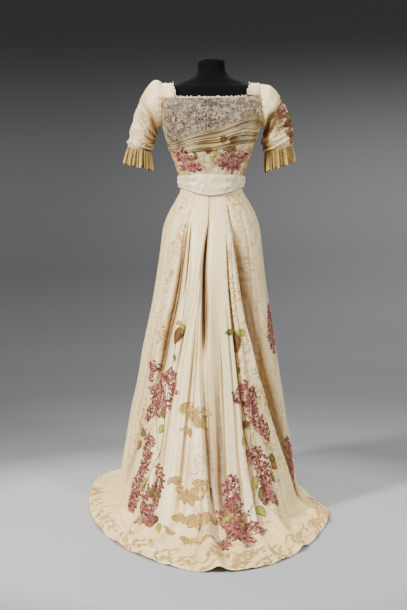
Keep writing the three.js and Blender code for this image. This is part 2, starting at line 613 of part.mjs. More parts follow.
// ---------------------------------------------------------------- neck edging
// Stations round the neckline: the point on the edge, the way the edging stands and the way it waves.
function neckStations() {
  const stations = [];
  const up = new THREE.Vector3(0, 0, 1);
  const addPanel = (panelPoint, neckZ, waveY) => {
    const ring = between(BODICE_RINGS, "z", neckZ(0.5));
    const corner = (STRAP_INNER_X - EDGING_HEIGHT - 3) / ring.side;
    const from = Math.acos(corner ** (ring.round / 2)) / DEGREE / 180;
    for (const share of steps(22)) {
      const across = from + (1 - 2 * from) * share;
      const point = panelPoint(across, neckZ(across) + SEAM_GAP, -FINE_CLOTH / 2);
      stations.push({ point, stand: up.clone(), wave: new THREE.Vector3(0, waveY, 0) });
    }
  };
  const addStrap = (side, backToFront) => {
    for (const share of steps(14)) {
      const along = 0.09 + 0.82 * (backToFront ? share : 1 - share);
      const point = strapPoint(side, 0, along, -FINE_CLOTH / 2);
      point.x -= side * (SEAM_GAP + FINE_CLOTH / 2);
      const rise = Math.sin(Math.PI * along);
      const stand = new THREE.Vector3(-side * (1.15 - rise), 0, rise).normalize();
      const wave = new THREE.Vector3(side * rise, Math.cos(Math.PI * along), 0).normalize();
      stations.push({ point, stand, wave });
    }
  };
  addPanel(backPoint, backNeckZ, 1);
  addStrap(-1, true);
  addPanel(frontPoint, () => FRONT_NECK_Z, -1);
  addStrap(1, false);
  return stations;
}

function makeEdging() {
  const grid = (face) =>
    steps(2).map((out) =>
      neckStations().map(({ point, stand, wave }, k) => {
        const scallop = k % 2 ? 1 : 0.72;
        const swing = (k % 2 ? 1 : -1) * EDGING_WAVE * out;
        return point
          .clone()
          .addScaledVector(stand, EDGING_HEIGHT * scallop * out)
          .addScaledVector(wave, swing + (face * (FINE_CLOTH - 0.2)) / 2);
      }),
    );
  return wall(grid(1), grid(-1), true);
}

// ---------------------------------------------------------------- belt
function beltGrid(lift) {
  const columns = 44;
  return BELT_ROWS.map((row) =>
    steps(columns)
      .slice(0, columns)
      .map((share) => {
        const angle = 360 * share;
        const behind = Math.max(0, Math.sin(angle * DEGREE));
        const topZ = BELT_TOP.z + BELT_TOP.backRise * behind ** 2;
        const bottomZ = BELT_BOTTOM.z - BELT_BOTTOM.backDip * behind ** 3;
        const z = topZ + (bottomZ - topZ) * row.down;
        const fold = row.fold * (0.6 + 0.4 * Math.cos(3 * angle * DEGREE));
        return ringPoint({ ...row, z, middle: -4, round: 2 }, angle, lift === 0 ? fold : lift);
      }),
  );
}

// ---------------------------------------------------------------- sleeves
// The armhole's outline on one side, from the underarm up the back, over the strap and down the front.
function armholeOutline(side) {
  const outline = [];
  const neckEnd = side > 0 ? 0 : 1;
  const rise = steps(24);
  for (const t of rise) {
    outline.push(backPoint(neckEnd, UNDERARM_Z + (backNeckZ(neckEnd) - UNDERARM_Z) * t, 0));
  }
  for (const t of rise.slice(1)) outline.push(strapPoint(side, 1, t));
  for (const t of rise.slice(1)) {
    outline.push(frontPoint(1 - neckEnd, FRONT_NECK_Z + (UNDERARM_Z - FRONT_NECK_Z) * t, 0));
  }
  return outline;
}

// The outline cut into equal lengths, held just outside the armhole.
function armholeRing(side, count) {
  const outline = armholeOutline(side);
  const lengths = [0];
  outline.slice(1).forEach((p, k) => lengths.push(lengths[k] + p.distanceTo(outline[k])));
  return steps(count)
    .slice(0, count)
    .map((share) => {
      const wanted = share * lengths.at(-1);
      const k = Math.max(1, lengths.findIndex((sum) => sum >= wanted));
      const part = (wanted - lengths[k - 1]) / (lengths[k] - lengths[k - 1]);
      const point = outline[k - 1].clone().lerp(outline[k], part);
      point.x += side * 2 * SEAM_GAP;
      return point;
    });
}

// A tilted ellipse through a table row's outermost and innermost points, from the inner point round
// by the back. Waves, if any, push it in and out.
function sleeveRing(row, side, count, waves = 0) {
  const outer = new THREE.Vector3(side * row.outerX, row.y, row.outerZ);
  const inner = new THREE.Vector3(side * row.innerX, row.y, row.innerZ);
  const middle = outer.clone().add(inner).multiplyScalar(0.5);
  const across = inner.clone().sub(middle);
  return steps(count)
    .slice(0, count)
    .map((share) => {
      const turn = 2 * Math.PI * share;
      const out = across
        .clone()
        .multiplyScalar(Math.cos(turn))
        .add(new THREE.Vector3(0, row.half * Math.sin(turn), 0));
      const push = waves ? (row.wave * Math.cos(waves * turn)) / out.length() : 0;
      return middle.clone().addScaledVector(out, 1 + push);
    });
}

function makeSleeve(table, side) {
  const outer = [armholeRing(side, SLEEVE_STRIPS), ...table.map((row) => sleeveRing(row, side, SLEEVE_STRIPS))];
  return wall(outer, outer.map((ring) => movedIn(ring, CLOTH)), true);
}

function makeRuffle(table, sleeve, side) {
  const count = RUFFLE_WAVES * STRIPS_PER_WAVE;
  const cuff = sleeve.at(-1);
  const seam = { ...cuff, outerZ: cuff.outerZ - 1.2 * SEAM_GAP, innerZ: cuff.innerZ - 1.2 * SEAM_GAP, wave: 0 };
  const outer = [seam, ...table].map((row) => sleeveRing(row, side, count, RUFFLE_WAVES));
  return wall(outer, outer.map((ring) => movedIn(ring, FINE_CLOTH)), true);
}

// ---------------------------------------------------------------- dress form
function makeTorso() {
  const columns = 26;
  return stack(
    FORM_RINGS.map((ring) =>
      steps(columns)
        .slice(0, columns)
        .map((share) => ringPoint(ring, 360 * share)),
    ),
  );
}

function standing(radius, low, high, sides) {
  const geometry = new THREE.CylinderGeometry(radius, radius, high - low, sides);
  return geometry.rotateX(Math.PI / 2).translate(0, 0, (low + high) / 2);
}

// ---------------------------------------------------------------- the whole object
const dress = new THREE.Group();

function add(name, geometry, colour, roughness = 0.6) {
  const material = new THREE.MeshStandardMaterial({ color: colour, roughness, metalness: 0 });
  const mesh = new THREE.Mesh(geometry, material);
  mesh.name = name;
  dress.add(mesh);
}

const SATIN = 0xeee6d3;
const LACE = 0xd9d2c8;
const CHIFFON = 0xe3d6a8;
const BLACK = 0x121315;

add("bodice_back", makePanel(backPoint, backNeckZ), SATIN);
add("bodice_front", makePanel(frontPoint, () => FRONT_NECK_Z), SATIN);
add("strap_left", makeStrap(1), SATIN);
add("strap_right", makeStrap(-1), SATIN);
add("lace_back", makeLace(), LACE, 0.9);
add("drape_back", makeDrape(), SATIN, 0.5);
add("neck_edging", makeEdging(), LACE, 0.9);
add("sleeve_left", makeSleeve(LEFT_SLEEVE, 1), SATIN);
add("sleeve_right", makeSleeve(RIGHT_SLEEVE, -1), SATIN);
add("ruffle_left", makeRuffle(LEFT_RUFFLE, LEFT_SLEEVE, 1), CHIFFON, 0.8);
add("ruffle_right", makeRuffle(RIGHT_RUFFLE, RIGHT_SLEEVE, -1), CHIFFON, 0.8);
add("belt", wall(beltGrid(0), beltGrid(-BELT_CLOTH), true), SATIN, 0.5);
for (const gore of GORES) add(gore.name, makeGore(gore), gore.colour);
add("form_torso", makeTorso(), BLACK, 0.9);
add("form_pole", standing(POLE_RADIUS, BASE_HEIGHT + SEAM_GAP, FORM_RINGS[0].z - SEAM_GAP, 16), BLACK, 0.4);
add("form_base", standing(BASE_RADIUS, 0, BASE_HEIGHT, 32), BLACK, 0.4);

export default dress;
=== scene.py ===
# %% [markdown]
# An afternoon dress of about 1900 on a black dress form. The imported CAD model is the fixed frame:
# every piece made here keeps the place and the size of the node that it stands for. Lengths in the
# tables are millimetres, as a dressmaker notes them, and turn into metres when a piece is made.
# %% Load the frame
import math

import bmesh
import bpy
import numpy as np
from mathutils import Matrix


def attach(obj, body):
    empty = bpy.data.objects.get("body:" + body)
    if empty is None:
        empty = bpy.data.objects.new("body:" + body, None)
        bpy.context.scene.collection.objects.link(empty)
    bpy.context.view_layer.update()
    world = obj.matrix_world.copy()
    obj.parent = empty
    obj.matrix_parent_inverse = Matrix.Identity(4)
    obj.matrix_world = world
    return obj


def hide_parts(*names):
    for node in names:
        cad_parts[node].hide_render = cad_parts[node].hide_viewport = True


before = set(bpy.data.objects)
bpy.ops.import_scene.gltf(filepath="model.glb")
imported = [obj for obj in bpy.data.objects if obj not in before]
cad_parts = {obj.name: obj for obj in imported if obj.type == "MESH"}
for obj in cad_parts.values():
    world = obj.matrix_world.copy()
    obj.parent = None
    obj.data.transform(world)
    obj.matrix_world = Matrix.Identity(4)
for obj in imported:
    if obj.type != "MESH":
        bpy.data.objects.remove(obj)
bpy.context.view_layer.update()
MM = 0.001

# %% [markdown]
# The camera stands behind the dress, a little above its middle, where the train shows best. A long
# lens keeps the waist and the hem in proportion.
# %% Camera
CAMERA_PLACE = (0.0262, 4.26507, 1.1432)
CAMERA_TILT = 0.115884  # radians below the level
camera_data = bpy.data.cameras.new("camera")
camera_data.lens, camera_data.sensor_width = 73.67, 36
camera = bpy.data.objects.new("camera", camera_data)
camera.location = CAMERA_PLACE
camera.rotation_euler = (math.pi / 2 - CAMERA_TILT, 0, math.pi)
bpy.context.scene.collection.objects.link(camera)
bpy.context.scene.camera = camera
print("camera at", tuple(camera.location))

# %% [markdown]
# Cloth is laid out with curves through short tables. The curve used here never overshoots its
# points, so a waist stays the narrowest place. All helpers work on whole arrays at once.
# %% Curves and steps
DEGREE = math.pi / 180
RIDGE_WIDTH = 0.55  # of a wave


def through(xs, ys, x):
    """A smooth curve through (xs, ys) that never overshoots its points."""
    xs, ys = np.asarray(xs, float), np.asarray(ys, float)
    rise = np.diff(ys) / np.diff(xs)
    slope = np.concatenate([rise[:1], np.zeros(len(xs) - 2), rise[-1:]])
    same = rise[:-1] * rise[1:] > 0
    total = np.where(same, rise[:-1] + rise[1:], 1)
    slope[1:-1] = np.where(same, 2 * rise[:-1] * rise[1:] / total, 0)
    x = np.clip(x, xs[0], xs[-1])
    i = np.clip(np.searchsorted(xs, x) - 1, 0, len(xs) - 2)
    width = xs[i + 1] - xs[i]
    t = (x - xs[i]) / width
    bend = width * t * (1 - t) * ((1 - t) * slope[i] - t * slope[i + 1])
    return ys[i] + (ys[i + 1] - ys[i]) * t * t * (3 - 2 * t) + bend


def ease(start, end, x):
    """From 0 at start to 1 at end, with soft ends."""
    t = np.clip((x - start) / (end - start), 0, 1)
    return t * t * (3 - 2 * t)


def bell(x, width):
    return np.exp(-((x / width) ** 2))


def powered(x, power):
    return np.sign(x) * np.abs(x) ** power


def between_turns(angle, line):
    """The angle from a line, the short way round."""
    return (angle - line + 180) % 360 - 180


def unit(vectors):
    return vectors / np.maximum(np.linalg.norm(vectors, axis=-1, keepdims=True), 1e-9)


def rows_between(rings, count):
    """Rings at even steps between the given ones, on a curve through them."""
    rings = np.asarray(rings, float)
    place = np.linspace(0, len(rings) - 1, count)
    i = np.clip(place.astype(int), 0, len(rings) - 2)
    t = (place - i)[:, None, None]
    before, after = rings[np.maximum(i - 1, 0)], rings[np.minimum(i + 2, len(rings) - 1)]
    here, there = rings[i], rings[i + 1]
    slope_here, slope_there = (there - before) / 2, (after - here) / 2
    return (
        here * (2 * t**3 - 3 * t**2 + 1) + slope_here * (t**3 - 2 * t**2 + t)
        + there * (3 * t**2 - 2 * t**3) + slope_there * (t**3 - t**2)
    )


def ripples(across, down, seed, count, length, lean=0.5):
    """A sum of soft waves in many directions, from about -1 to 1.

    count waves are about length long; lean is how far their directions stray, in radians.
    """
    draw = np.random.default_rng(seed)
    total = 0
    for _ in range(count):
        turn = draw.normal(0, lean)
        wave = length * draw.uniform(0.6, 1.6)
        phase = draw.uniform(0, 2 * math.pi)
        run = across * math.cos(turn) + down * math.sin(turn)
        total = total + np.sin(2 * math.pi * run / wave + phase)
    return total / math.sqrt(count)


def creases(across, down, seed, count, length, lean=0.5):
    """Narrow ridges with wide soft valleys between them, from 0 to 1."""
    return bell(ripples(across, down, seed, count, length, lean), RIDGE_WIDTH)


def crossings(columns, rows, left=0.0, right=1.0, top=0.0, bottom=1.0):
    """The share across and the share down at every crossing of a grid."""
    return np.meshgrid(np.linspace(left, right, columns), np.linspace(top, bottom, rows))


print("curve check:", float(through([0, 1, 2], [0, 1, 1], 1.5)))

# %% [markdown]
# Each piece of cloth starts as a flat grid, whose crossings are then moved to where the cloth
# hangs. A Solidify modifier gives the wall its thickness towards the body. The grid keeps a UV map
# in metres, so that a woven pattern keeps its true size however the cloth is folded.
# %% Cloth from a grid
CLOTH = 2.0
FINE_CLOTH = 1.2
cloths = {}


def facing(points, inside):
    """The direction out of the cloth at every crossing, away from the inside points."""
    down, across = np.gradient(points, axis=0), np.gradient(points, axis=1)
    out = unit(np.cross(across, down))
    return out if np.sum(out * (points - inside)) > 0 else -out


def measured(points):
    """Metres across from the middle of each row, and metres down from the first row."""
    steps = np.linalg.norm(np.diff(points, axis=1), axis=2)
    across = np.concatenate([np.zeros((len(points), 1)), np.cumsum(steps, axis=1)], axis=1)
    across -= across[:, -1:] / 2
    steps = np.linalg.norm(np.diff(points, axis=0), axis=2)
    down = np.concatenate([np.zeros((1, points.shape[1])), np.cumsum(steps, axis=0)], axis=0)
    return across, down


def new_piece(name, mesh):
    piece = bpy.data.objects.new(name, mesh)
    bpy.context.scene.collection.objects.link(piece)
    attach(piece, "root")
    return piece


def dress(piece, material, slot, *nodes):
    """Gives a piece its material and hides the CAD nodes that it stands for. The slot is not used."""
    piece.data.materials.append(material)
    for node in nodes:
        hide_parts(node)


def lay_cloth(name, points_mm, inside_mm, thickness=CLOTH, ring=False, **marks):
    """A piece of cloth through points (rows, columns, 3); marks are numbers kept at the crossings."""
    points, inside = points_mm * MM, inside_mm * MM
    rows, columns = points.shape[:2]
    across, down = measured(points)
    grid = bmesh.new()
    bmesh.ops.create_grid(grid, x_segments=columns - 1, y_segments=rows - 1, size=1)
    mesh = bpy.data.meshes.new(name)
    grid.to_mesh(mesh)
    mesh.vertices.foreach_set("co", points.reshape(-1))
    mesh.update()
    corner = np.empty(len(mesh.loops), int)
    mesh.loops.foreach_get("vertex_index", corner)
    flat = np.stack([across, down], axis=-1).reshape(-1, 2)
    mesh.uv_layers.new(name="cloth").data.foreach_set("uv", flat[corner].reshape(-1))
    for mark, numbers in marks.items():
        made = mesh.attributes.new(mark, "FLOAT", "POINT")
        made.data.foreach_set("value", np.ravel(numbers * np.ones((rows, columns))))
    grid.clear()
    grid.from_mesh(mesh)
    if ring:
        bmesh.ops.remove_doubles(grid, verts=grid.verts[:], dist=1e-6)
    grid.normal_update()
    middle = np.array([f.calc_center_median() for f in grid.faces])
    normal = np.array([f.normal for f in grid.faces])
    nearest = (inside[:-1, :-1] + inside[1:, 1:]) / 2
    if np.sum(normal * (middle - nearest.reshape(-1, 3))) < 0:
        bmesh.ops.reverse_faces(grid, faces=grid.faces[:])
    for face in grid.faces:
        face.smooth = True
    grid.to_mesh(mesh)
    grid.free()
    piece = new_piece(name, mesh)
    wall = piece.modifiers.new("wall", "SOLIDIFY")
    wall.thickness, wall.offset = thickness * MM, -1
    cloths[name] = {"piece": piece, "points": points, "across": across, "down": down}
    return piece


print("cloth helper ready, wall", CLOTH, "mm")

# %% [markdown]
# Materials are node trees. A few short helpers place the nodes: a texture, a ramp that turns its
# value into a mask, a mix of two colours, and a bump.
# %% Helpers for finishes
class Finish:
    """A Principled material under construction."""

    def __init__(self, name, **settings):
        self.material = bpy.data.materials.new(name)
        self.material.use_nodes = True
        self.tree = self.material.node_tree
        self.shader = self.tree.nodes["Principled BSDF"]
        for socket, value in settings.items():
            self.shader.inputs[socket.replace("_", " ")].default_value = value

    def node(self, kind, inputs=(), **settings):
        made = self.tree.nodes.new("ShaderNode" + kind)
        for key, value in settings.items():
            setattr(made, key, value)
        for socket, value in dict(inputs).items():
            if isinstance(value, bpy.types.NodeSocket):
                self.tree.links.new(value, made.inputs[socket])
            else:
                made.inputs[socket].default_value = value
        return made

    def flat(self):
        return self.node("UVMap", uv_map="cloth").outputs["UV"]

    def place(self):
        return self.node("TexCoord").outputs["Object"]

    def mark(self, name):
        return self.node("Attribute", attribute_name=name).outputs["Fac"]

    def scaled(self, vector, scale):
        return self.node("Mapping", {"Vector": vector, "Scale": scale}).outputs["Vector"]

    def noise(self, vector, scale, detail=3.0, roughness=0.5, distortion=0.0):
        inputs = {"Vector": vector, "Scale": scale, "Detail": detail, "Roughness": roughness,
                  "Distortion": distortion}
        return self.node("TexNoise", inputs).outputs["Fac"]

    def cell_edges(self, vector, scale):
        made = self.node("TexVoronoi", {"Vector": vector, "Scale": scale},
                         feature="DISTANCE_TO_EDGE")
        return made.outputs["Distance"]

    def wave(self, vector, scale, distortion=0.0, direction="X"):
        inputs = {"Vector": vector, "Scale": scale, "Distortion": distortion}
        return self.node("TexWave", inputs, bands_direction=direction).outputs["Fac"]

    def mask(self, value, low, high):
        made = self.node("MapRange", {"Value": value, "From Min": low, "From Max": high})
        made.interpolation_type = "SMOOTHSTEP"
        return made.outputs["Result"]

    def maths(self, operation, first, second):
        return self.node("Math", {0: first, 1: second}, operation=operation).outputs["Value"]

    def times(self, first, second):
        return self.maths("MULTIPLY", first, second)

    def mix(self, factor, first, second, blend="MIX"):
        made = self.node("Mix", data_type="RGBA", blend_type=blend)
        for socket, value in ((0, factor), (6, first), (7, second)):
            if isinstance(value, bpy.types.NodeSocket):
                self.tree.links.new(value, made.inputs[socket])
            elif socket:
                made.inputs[socket].default_value = (*value, 1)
            else:
                made.inputs[socket].default_value = value
        return made.outputs[2]

    def tinted(self, colour, mask, strength, tint):
        """The colour, turned towards a tint where the mask is full."""
        return self.mix(self.times(mask, strength), colour, tint)

    def warped(self, vector, scale, amount):
        """The vector pushed about by noise, for patterns with hand-drawn edges."""
        cloud = self.node("TexNoise", {"Vector": vector, "Scale": scale, "Detail": 2.0})
        push = self.node("VectorMath", {0: cloud.outputs["Color"], 1: (0.5, 0.5, 0.5)},
                         operation="SUBTRACT")
        moved = self.node("VectorMath", {0: push.outputs[0], "Scale": amount}, operation="SCALE")
        return self.node("VectorMath", {0: vector, 1: moved.outputs[0]}).outputs[0]

    def bump(self, height, distance, strength=1.0, under=None):
        inputs = {"Height": height, "Distance": distance, "Strength": strength}
        if under is not None:
            inputs["Normal"] = under
        return self.node("Bump", inputs).outputs["Normal"]

    def set(self, socket, value):
        self.tree.links.new(value, self.shader.inputs[socket])


print("finish helpers ready")

# %% [markdown]
# Ivory satin is long floats of silk: smooth and softly shiny, with slubs along the weft and faint
# creases from wear. A woven pattern of blossoms in beige runs along the seams, and a cream band of
# golden leaves along the hem. Marks kept on the cloth say how strong each is, and where painted
# shade turns the bottoms of the folds golden or dark and darkens the creases.
# %% Satin
IVORY = (0.93, 0.77, 0.43)
WHITE_SILK = (0.93, 0.78, 0.46)
CREAM = (0.95, 0.72, 0.32)
BEIGE = (0.42, 0.215, 0.05)
DAMASK_GROUND, DUST = (0.84, 0.58, 0.25), (0.17, 0.12, 0.055)
HEM_LEAF, HEM_RIM = (0.78, 0.46, 0.15), (0.46, 0.29, 0.09)
# Painted shade: golden and dark brown for the bottoms of folds, dark brown for creases.
SHADE_GOLD, DEEP_SHADE_BROWN = (0.38, 0.190, 0.030), (0.108, 0.040, 0.005)
CREASE_SHADE = (0.09, 0.045, 0.012)


def weave(finish, vector, slub=0.35, crease=0.6):
    """Bump for satin: fine weave, slubs and soft creases."""
    threads = finish.noise(finish.scaled(vector, (900, 2600, 900)), 1.0, 2.0)
    slubs = finish.noise(finish.scaled(vector, (40, 700, 40)), 1.0, 2.0)
    soft = finish.noise(finish.warped(vector, 9.0, 0.03), 26.0, 3.0, 0.55)
    fine = finish.bump(threads, 0.00012, 0.4)
    fine = finish.bump(slubs, 0.0003, slub, fine)
    return finish.bump(soft, 0.004, crease, fine)


def satin(name, base, shade, blossoms=False, roughness=0.42):
    made = Finish(name, Roughness=roughness, Sheen_Weight=0.12, Sheen_Roughness=0.4,
                  Specular_IOR_Level=0.45)
    flat = made.flat()
    age = made.mask(made.noise(flat, 5.0, 4.0, 0.6), 0.35, 0.7)
    colour = made.tinted(base, age, 0.55, shade)
    streak = made.mask(made.noise(made.scaled(flat, (60, 4, 60)), 1.0, 3.0), 0.45, 0.75)
    colour = made.tinted(colour, streak, 0.25, shade)
    normal = weave(made, flat)
    if blossoms:
        drawn = made.warped(flat, 40.0, 0.02)
        sprig = made.mask(made.noise(drawn, 85.0, 3.0, 0.6, 0.8), 0.49, 0.57)
        patch = made.mask(made.noise(made.scaled(flat, (24, 9, 24)), 1.0, 2.0), 0.36, 0.60)
        strength = made.times(patch, made.mark("damask"))
        figure = made.times(sprig, strength)
        fleck = made.mask(made.noise(drawn, 60.0, 2.0, 0.5, 1.0), 0.60, 0.66)
        colour = made.tinted(colour, strength, 0.5, DAMASK_GROUND)
        colour = made.tinted(colour, figure, 0.95, BEIGE)
        colour = made.tinted(colour, made.times(fleck, made.mark("damask")), 0.60, DUST)
        band = made.mark("hem_band")
        edges = made.cell_edges(made.warped(flat, 20.0, 0.04), 22.0)
        chosen = made.mask(made.noise(flat, 17.0, 1.0), 0.50, 0.56)
        leaf = made.times(made.mask(edges, 0.10, 0.16), chosen)
        rim = made.times(made.mask(edges, 0.05, 0.02), 0.22)
        colour = made.tinted(colour, band, 0.85, CREAM)
        for shape, tint in ((leaf, HEM_LEAF), (rim, HEM_RIM)):
            colour = made.tinted(colour, made.times(shape, band), 0.7, tint)
        normal = made.bump(figure, 0.0004, 0.5, normal)
    # Painted shade: the bottoms of folds turned golden, the deepest dark brown, with a mottled tint.
    rough = made.mask(made.noise(flat, 55.0, 3.0), 0.35, 0.65)
    valley = made.mark("valley")
    deep = made.times(made.maths("POWER", valley, 3.0), 0.9)
    tint = made.tinted(made.mix(deep, SHADE_GOLD, DEEP_SHADE_BROWN), rough, 0.35, SHADE_GOLD)
    colour = made.tinted(colour, valley, 0.95, tint)
    # Painted shade: creases darkened towards dark brown.
    colour = made.tinted(colour, made.mark("crease"), 0.90, CREASE_SHADE)
    made.set("Base Color", colour)
    made.set("Normal", normal)
    return made.material


skirt_satin = satin("skirt satin", IVORY, (0.90, 0.66, 0.30), blossoms=True)
bodice_satin = satin("bodice satin", WHITE_SILK, (0.86, 0.64, 0.34), blossoms=True)
belt_silk = satin("belt silk", (0.89, 0.76, 0.48), (0.74, 0.58, 0.33), roughness=0.38)
print("satins:", skirt_satin.name, bodice_satin.name, belt_silk.name)

# %% [markdown]
# The form is a padded torso under black jersey, on a steel pole with a round base. Jersey is dull
# and knitted, so its highlights are wide. The pole and base are stoved enamel, slightly worn.
# %% Finishes of the form
jersey = Finish("black jersey", Roughness=0.9, Sheen_Weight=0.02, Specular_IOR_Level=0.06)
knit = jersey.wave(jersey.place(), 420.0, 1.5, "Z")
cloud = jersey.noise(jersey.place(), 18.0, 4.0)
jersey.set("Base Color", jersey.mix(cloud, (0.0008, 0.0008, 0.001), (0.003, 0.003, 0.0035)))
jersey.set("Normal", jersey.bump(cloud, 0.002, 0.3, jersey.bump(knit, 0.0004, 0.4)))

enamel = Finish("black enamel", Specular_IOR_Level=0.5)
specks = enamel.noise(enamel.place(), 90.0, 5.0, 0.6)
enamel.set("Base Color", enamel.mix(specks, (0.009, 0.009, 0.010), (0.022, 0.021, 0.021)))
enamel.set("Roughness", enamel.mask(specks, -0.4, 1.4))
enamel.set("Normal", enamel.bump(specks, 0.0002, 0.3))
for node in ("form_pole", "form_base"):
    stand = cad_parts[node]
    stand.data.materials.clear()
    stand.data.materials.append(enamel.material)
print("form finishes ready")

# %% [markdown]
# The torso's rings run from the hips over waist, bust and shoulders to the flat top of the neck.
# It could be carved, but rings with a smooth curve between them give the same lofted shape as the
# frame with many more faces.
# %% Torso of the form
FORM_RINGS = np.array([  # height, half width, back, front, middle, roundness
    [812, 128, 112, 92, 0, 2.1], [824, 144, 128, 106, 0, 2.1], [860, 153, 134, 114, 0, 2.1],
    [910, 150, 130, 112, 0, 2.05], [965, 130, 110, 102, -2, 2.0], [1005, 109, 93, 96, -3, 2.0],
    [1040, 99.4, 82.4, 92.4, -4, 2.0], [1063, 100.2, 81.2, 92, -4, 2.0],
    [1090, 106.4, 84.4, 99.4, -5, 2.05], [1120, 116, 88, 108, -6, 2.1],
    [1150, 125, 91, 118, -7, 2.15], [1190, 139, 94, 132, -8, 2.2], [1230, 151, 96, 141, -9, 2.3],
    [1262, 158, 98, 143, -10, 2.4], [1300, 164, 97, 134, -11, 2.5], [1340, 168, 90, 114, -12, 2.6],
    [1362, 166, 81, 98, -12, 2.5], [1380, 160, 74, 82, -11, 2.3], [1390, 150, 68, 68, -9, 2.1],
    [1396, 131, 63, 60, -7, 2.0], [1403, 112, 59, 55, -5, 2.0], [1411, 88, 55, 49, -3, 2.0],
    [1422, 63, 51, 43, 0, 2.0], [1437, 49, 46, 40, 2, 2.0], [1450, 45.5, 44, 40, 2, 2.0],
    [1465, 45, 42, 40, 1, 2.0], [1475, 41, 38, 37, 0, 2.0], [1481, 30, 28, 27, 0, 2.0],
])


def ring_at(rings, z):
    return [through(rings[:, 0], rings[:, k], z) for k in range(1, 6)]


def ring_point(ring, z, angle, lift=0.0):
    """A point at an angle round the body: 0 is the wearer's left, 90 the back."""
    side, back, front, middle, roundness = ring
    c, s = np.cos(angle * DEGREE), np.sin(angle * DEGREE)
    reach = np.where(s > 0, back - middle, front + middle) + lift
    power = 2 / roundness
    x = (side + lift) * powered(c, power)
    return np.stack(np.broadcast_arrays(x, middle + reach * powered(s, power), z + 0 * x), -1)


TORSO_COLUMNS, TORSO_ROWS = 97, 110
turn = np.linspace(0, 360, TORSO_COLUMNS)
rings = [ring_point(list(ring[1:]), ring[0], turn) for ring in FORM_RINGS]
torso = rows_between(rings, TORSO_ROWS)
low, high = torso[0], torso[-1]
cap = [[(ring.mean(0) + (ring - ring.mean(0)) * k) for k in (0.0, 0.5)] for ring in (low, high)]
torso = np.concatenate([cap[0], torso, cap[1][::-1]])
piece = lay_cloth("torso", torso, torso.mean(axis=1, keepdims=True) * np.ones_like(torso),
                  ring=True)
piece.modifiers.clear()
dress(piece, jersey.material, "form_cover", "form_torso")
print("torso:", len(piece.data.polygons), "faces")

# %% [markdown]
# The skirt is five gores that fall from a close waist into a short train. Its tables say how wide
# it is at each row, how far the hem lies askew, where the seams run and where each fold hangs. A
# cloth simulation would settle anywhere it likes; named folds stay where the real ones hang.
# %% Tables of the skirt
SKIRT_ROWS = np.array([  # height, left, right, back, front, middle, squareness
    [1062.6, 103, 103, 84, 95, -4, 2], [1040, 105, 107, 87, 96, -4, 2],
    [1005, 122, 127, 101, 103, -3, 2], [965, 144, 149, 124, 115, -2, 2],
    [910, 164, 166, 148, 127, 0, 2], [820, 176, 177, 180, 141, 0, 2],
    [700, 194, 191, 220, 156, 0, 2], [585, 217, 209, 264, 175, 0, 2],
    [470, 239, 227, 310, 196, 0, 2], [355, 262, 248, 360, 218, 2, 2],
    [240, 285, 265, 414, 241, 6, 2.1], [130, 303, 284, 474, 262, 16, 2.2],
    [55, 314, 297, 536, 280, 32, 2.3], [14, 327, 311, 594, 294, 54, 2.4],
    [3, 350, 331, 670, 304, 84, 2.6], [2, 378, 354, 784, 316, 118, 2.7],
    [2, 405, 381, 898, 328, 152, 2.8],
])
HEM_ROW = len(SKIRT_ROWS) - 1
HEM_SHIFTS = np.array([  # angle, sideways, back
    [0, 10, -70], [30, 2, -52], [60, -4, -32], [90, 0, 0], [150, 0, 12], [165, 0, 60],
    [180, -1, 140], [193, 24, 90], [212, 36, 10], [240, 14, 0], [270, 0, 0], [325, 26, -32],
    [360, 10, -70],
])
LINE_ROWS = [3.5, 5.5, 8, 13, 16]
SEAMS = {
    "front left": [-20, -21, -22, -24, -26],
    "back left": [61, 53, 47, 45, 43],
    "centre back": [89, 83, 86.5, 91, 95],
    "back right": [115, 111.5, 117, 119, 122],
    "front right": [200, 201, 202, 204, 206],
}
FOLDS = [  # angles at five rows, first and last row, depth, half width to the left and right
    ([58, 51, 42, 36, 35], 2.4, 9.4, 21, 0.8, 9.5),
    ([58, 51, 40.5, 19, 17], 6.8, 12.4, 11, 1.0, 4.0),
    ([55.5, 48.5, 39, 16.5, 14.5], 4.0, 12, -7, 4.5, 1.0),
    ([32, 30, 26, 20, 19], 3.8, 14, 11, 3.0, 3.4),
    ([84, 74, 61, 55, 53], 3.4, 13, 10, 2.4, 1.2),
    ([86, 79, 73.5, 67, 64], 4.2, 14, 14, 1.0, 3.0),
    ([70, 66, 58, 50, 47], 8.0, 14, 14, 1.0, 3.0),
    ([86.5, 80.3, 82.8, 92.5, 95.5], 2.4, 8.0, 29, 0.8, 6.0),
    ([87, 80.3, 82.8, 92.5, 95.5], 6.0, 15.6, 14, 0.8, 7.5),
    ([84, 78, 80.5, 90, 93.5], 3.2, 15.5, -7, 4.0, 1.0),
    ([114, 120.5, 132, 162, 166], 3.0, 13.6, 48, 0.8, 14.5),
    ([111, 117.5, 129, 159, 163], 3.6, 13.2, -9, 5.0, 1.2),
    ([108, 108, 113, 119, 122], 4.0, 13.6, 14, 0.9, 3.2),
    ([99, 93.5, 95, 98.5, 101], 6.5, 14.5, 11, 2.2, 3.4),
    ([86, 86, 86, 83, 81], 9.0, 17.8, 15, 0.8, 3.4),
    ([212, 212, 213, 213, 213], 5.5, 14, 14, 4.5, 4.5),
    ([240, 239, 238, 236, 235], 6, 14, 16, 4.5, 4.5),
    ([264, 264, 265, 266, 267], 7, 14, 9, 5, 5),
    ([292, 293, 294, 296, 297], 6, 14, 15, 4.5, 4.5),
    ([322, 322, 322, 322, 322], 5.5, 14, 16, 4.5, 4.5),
]
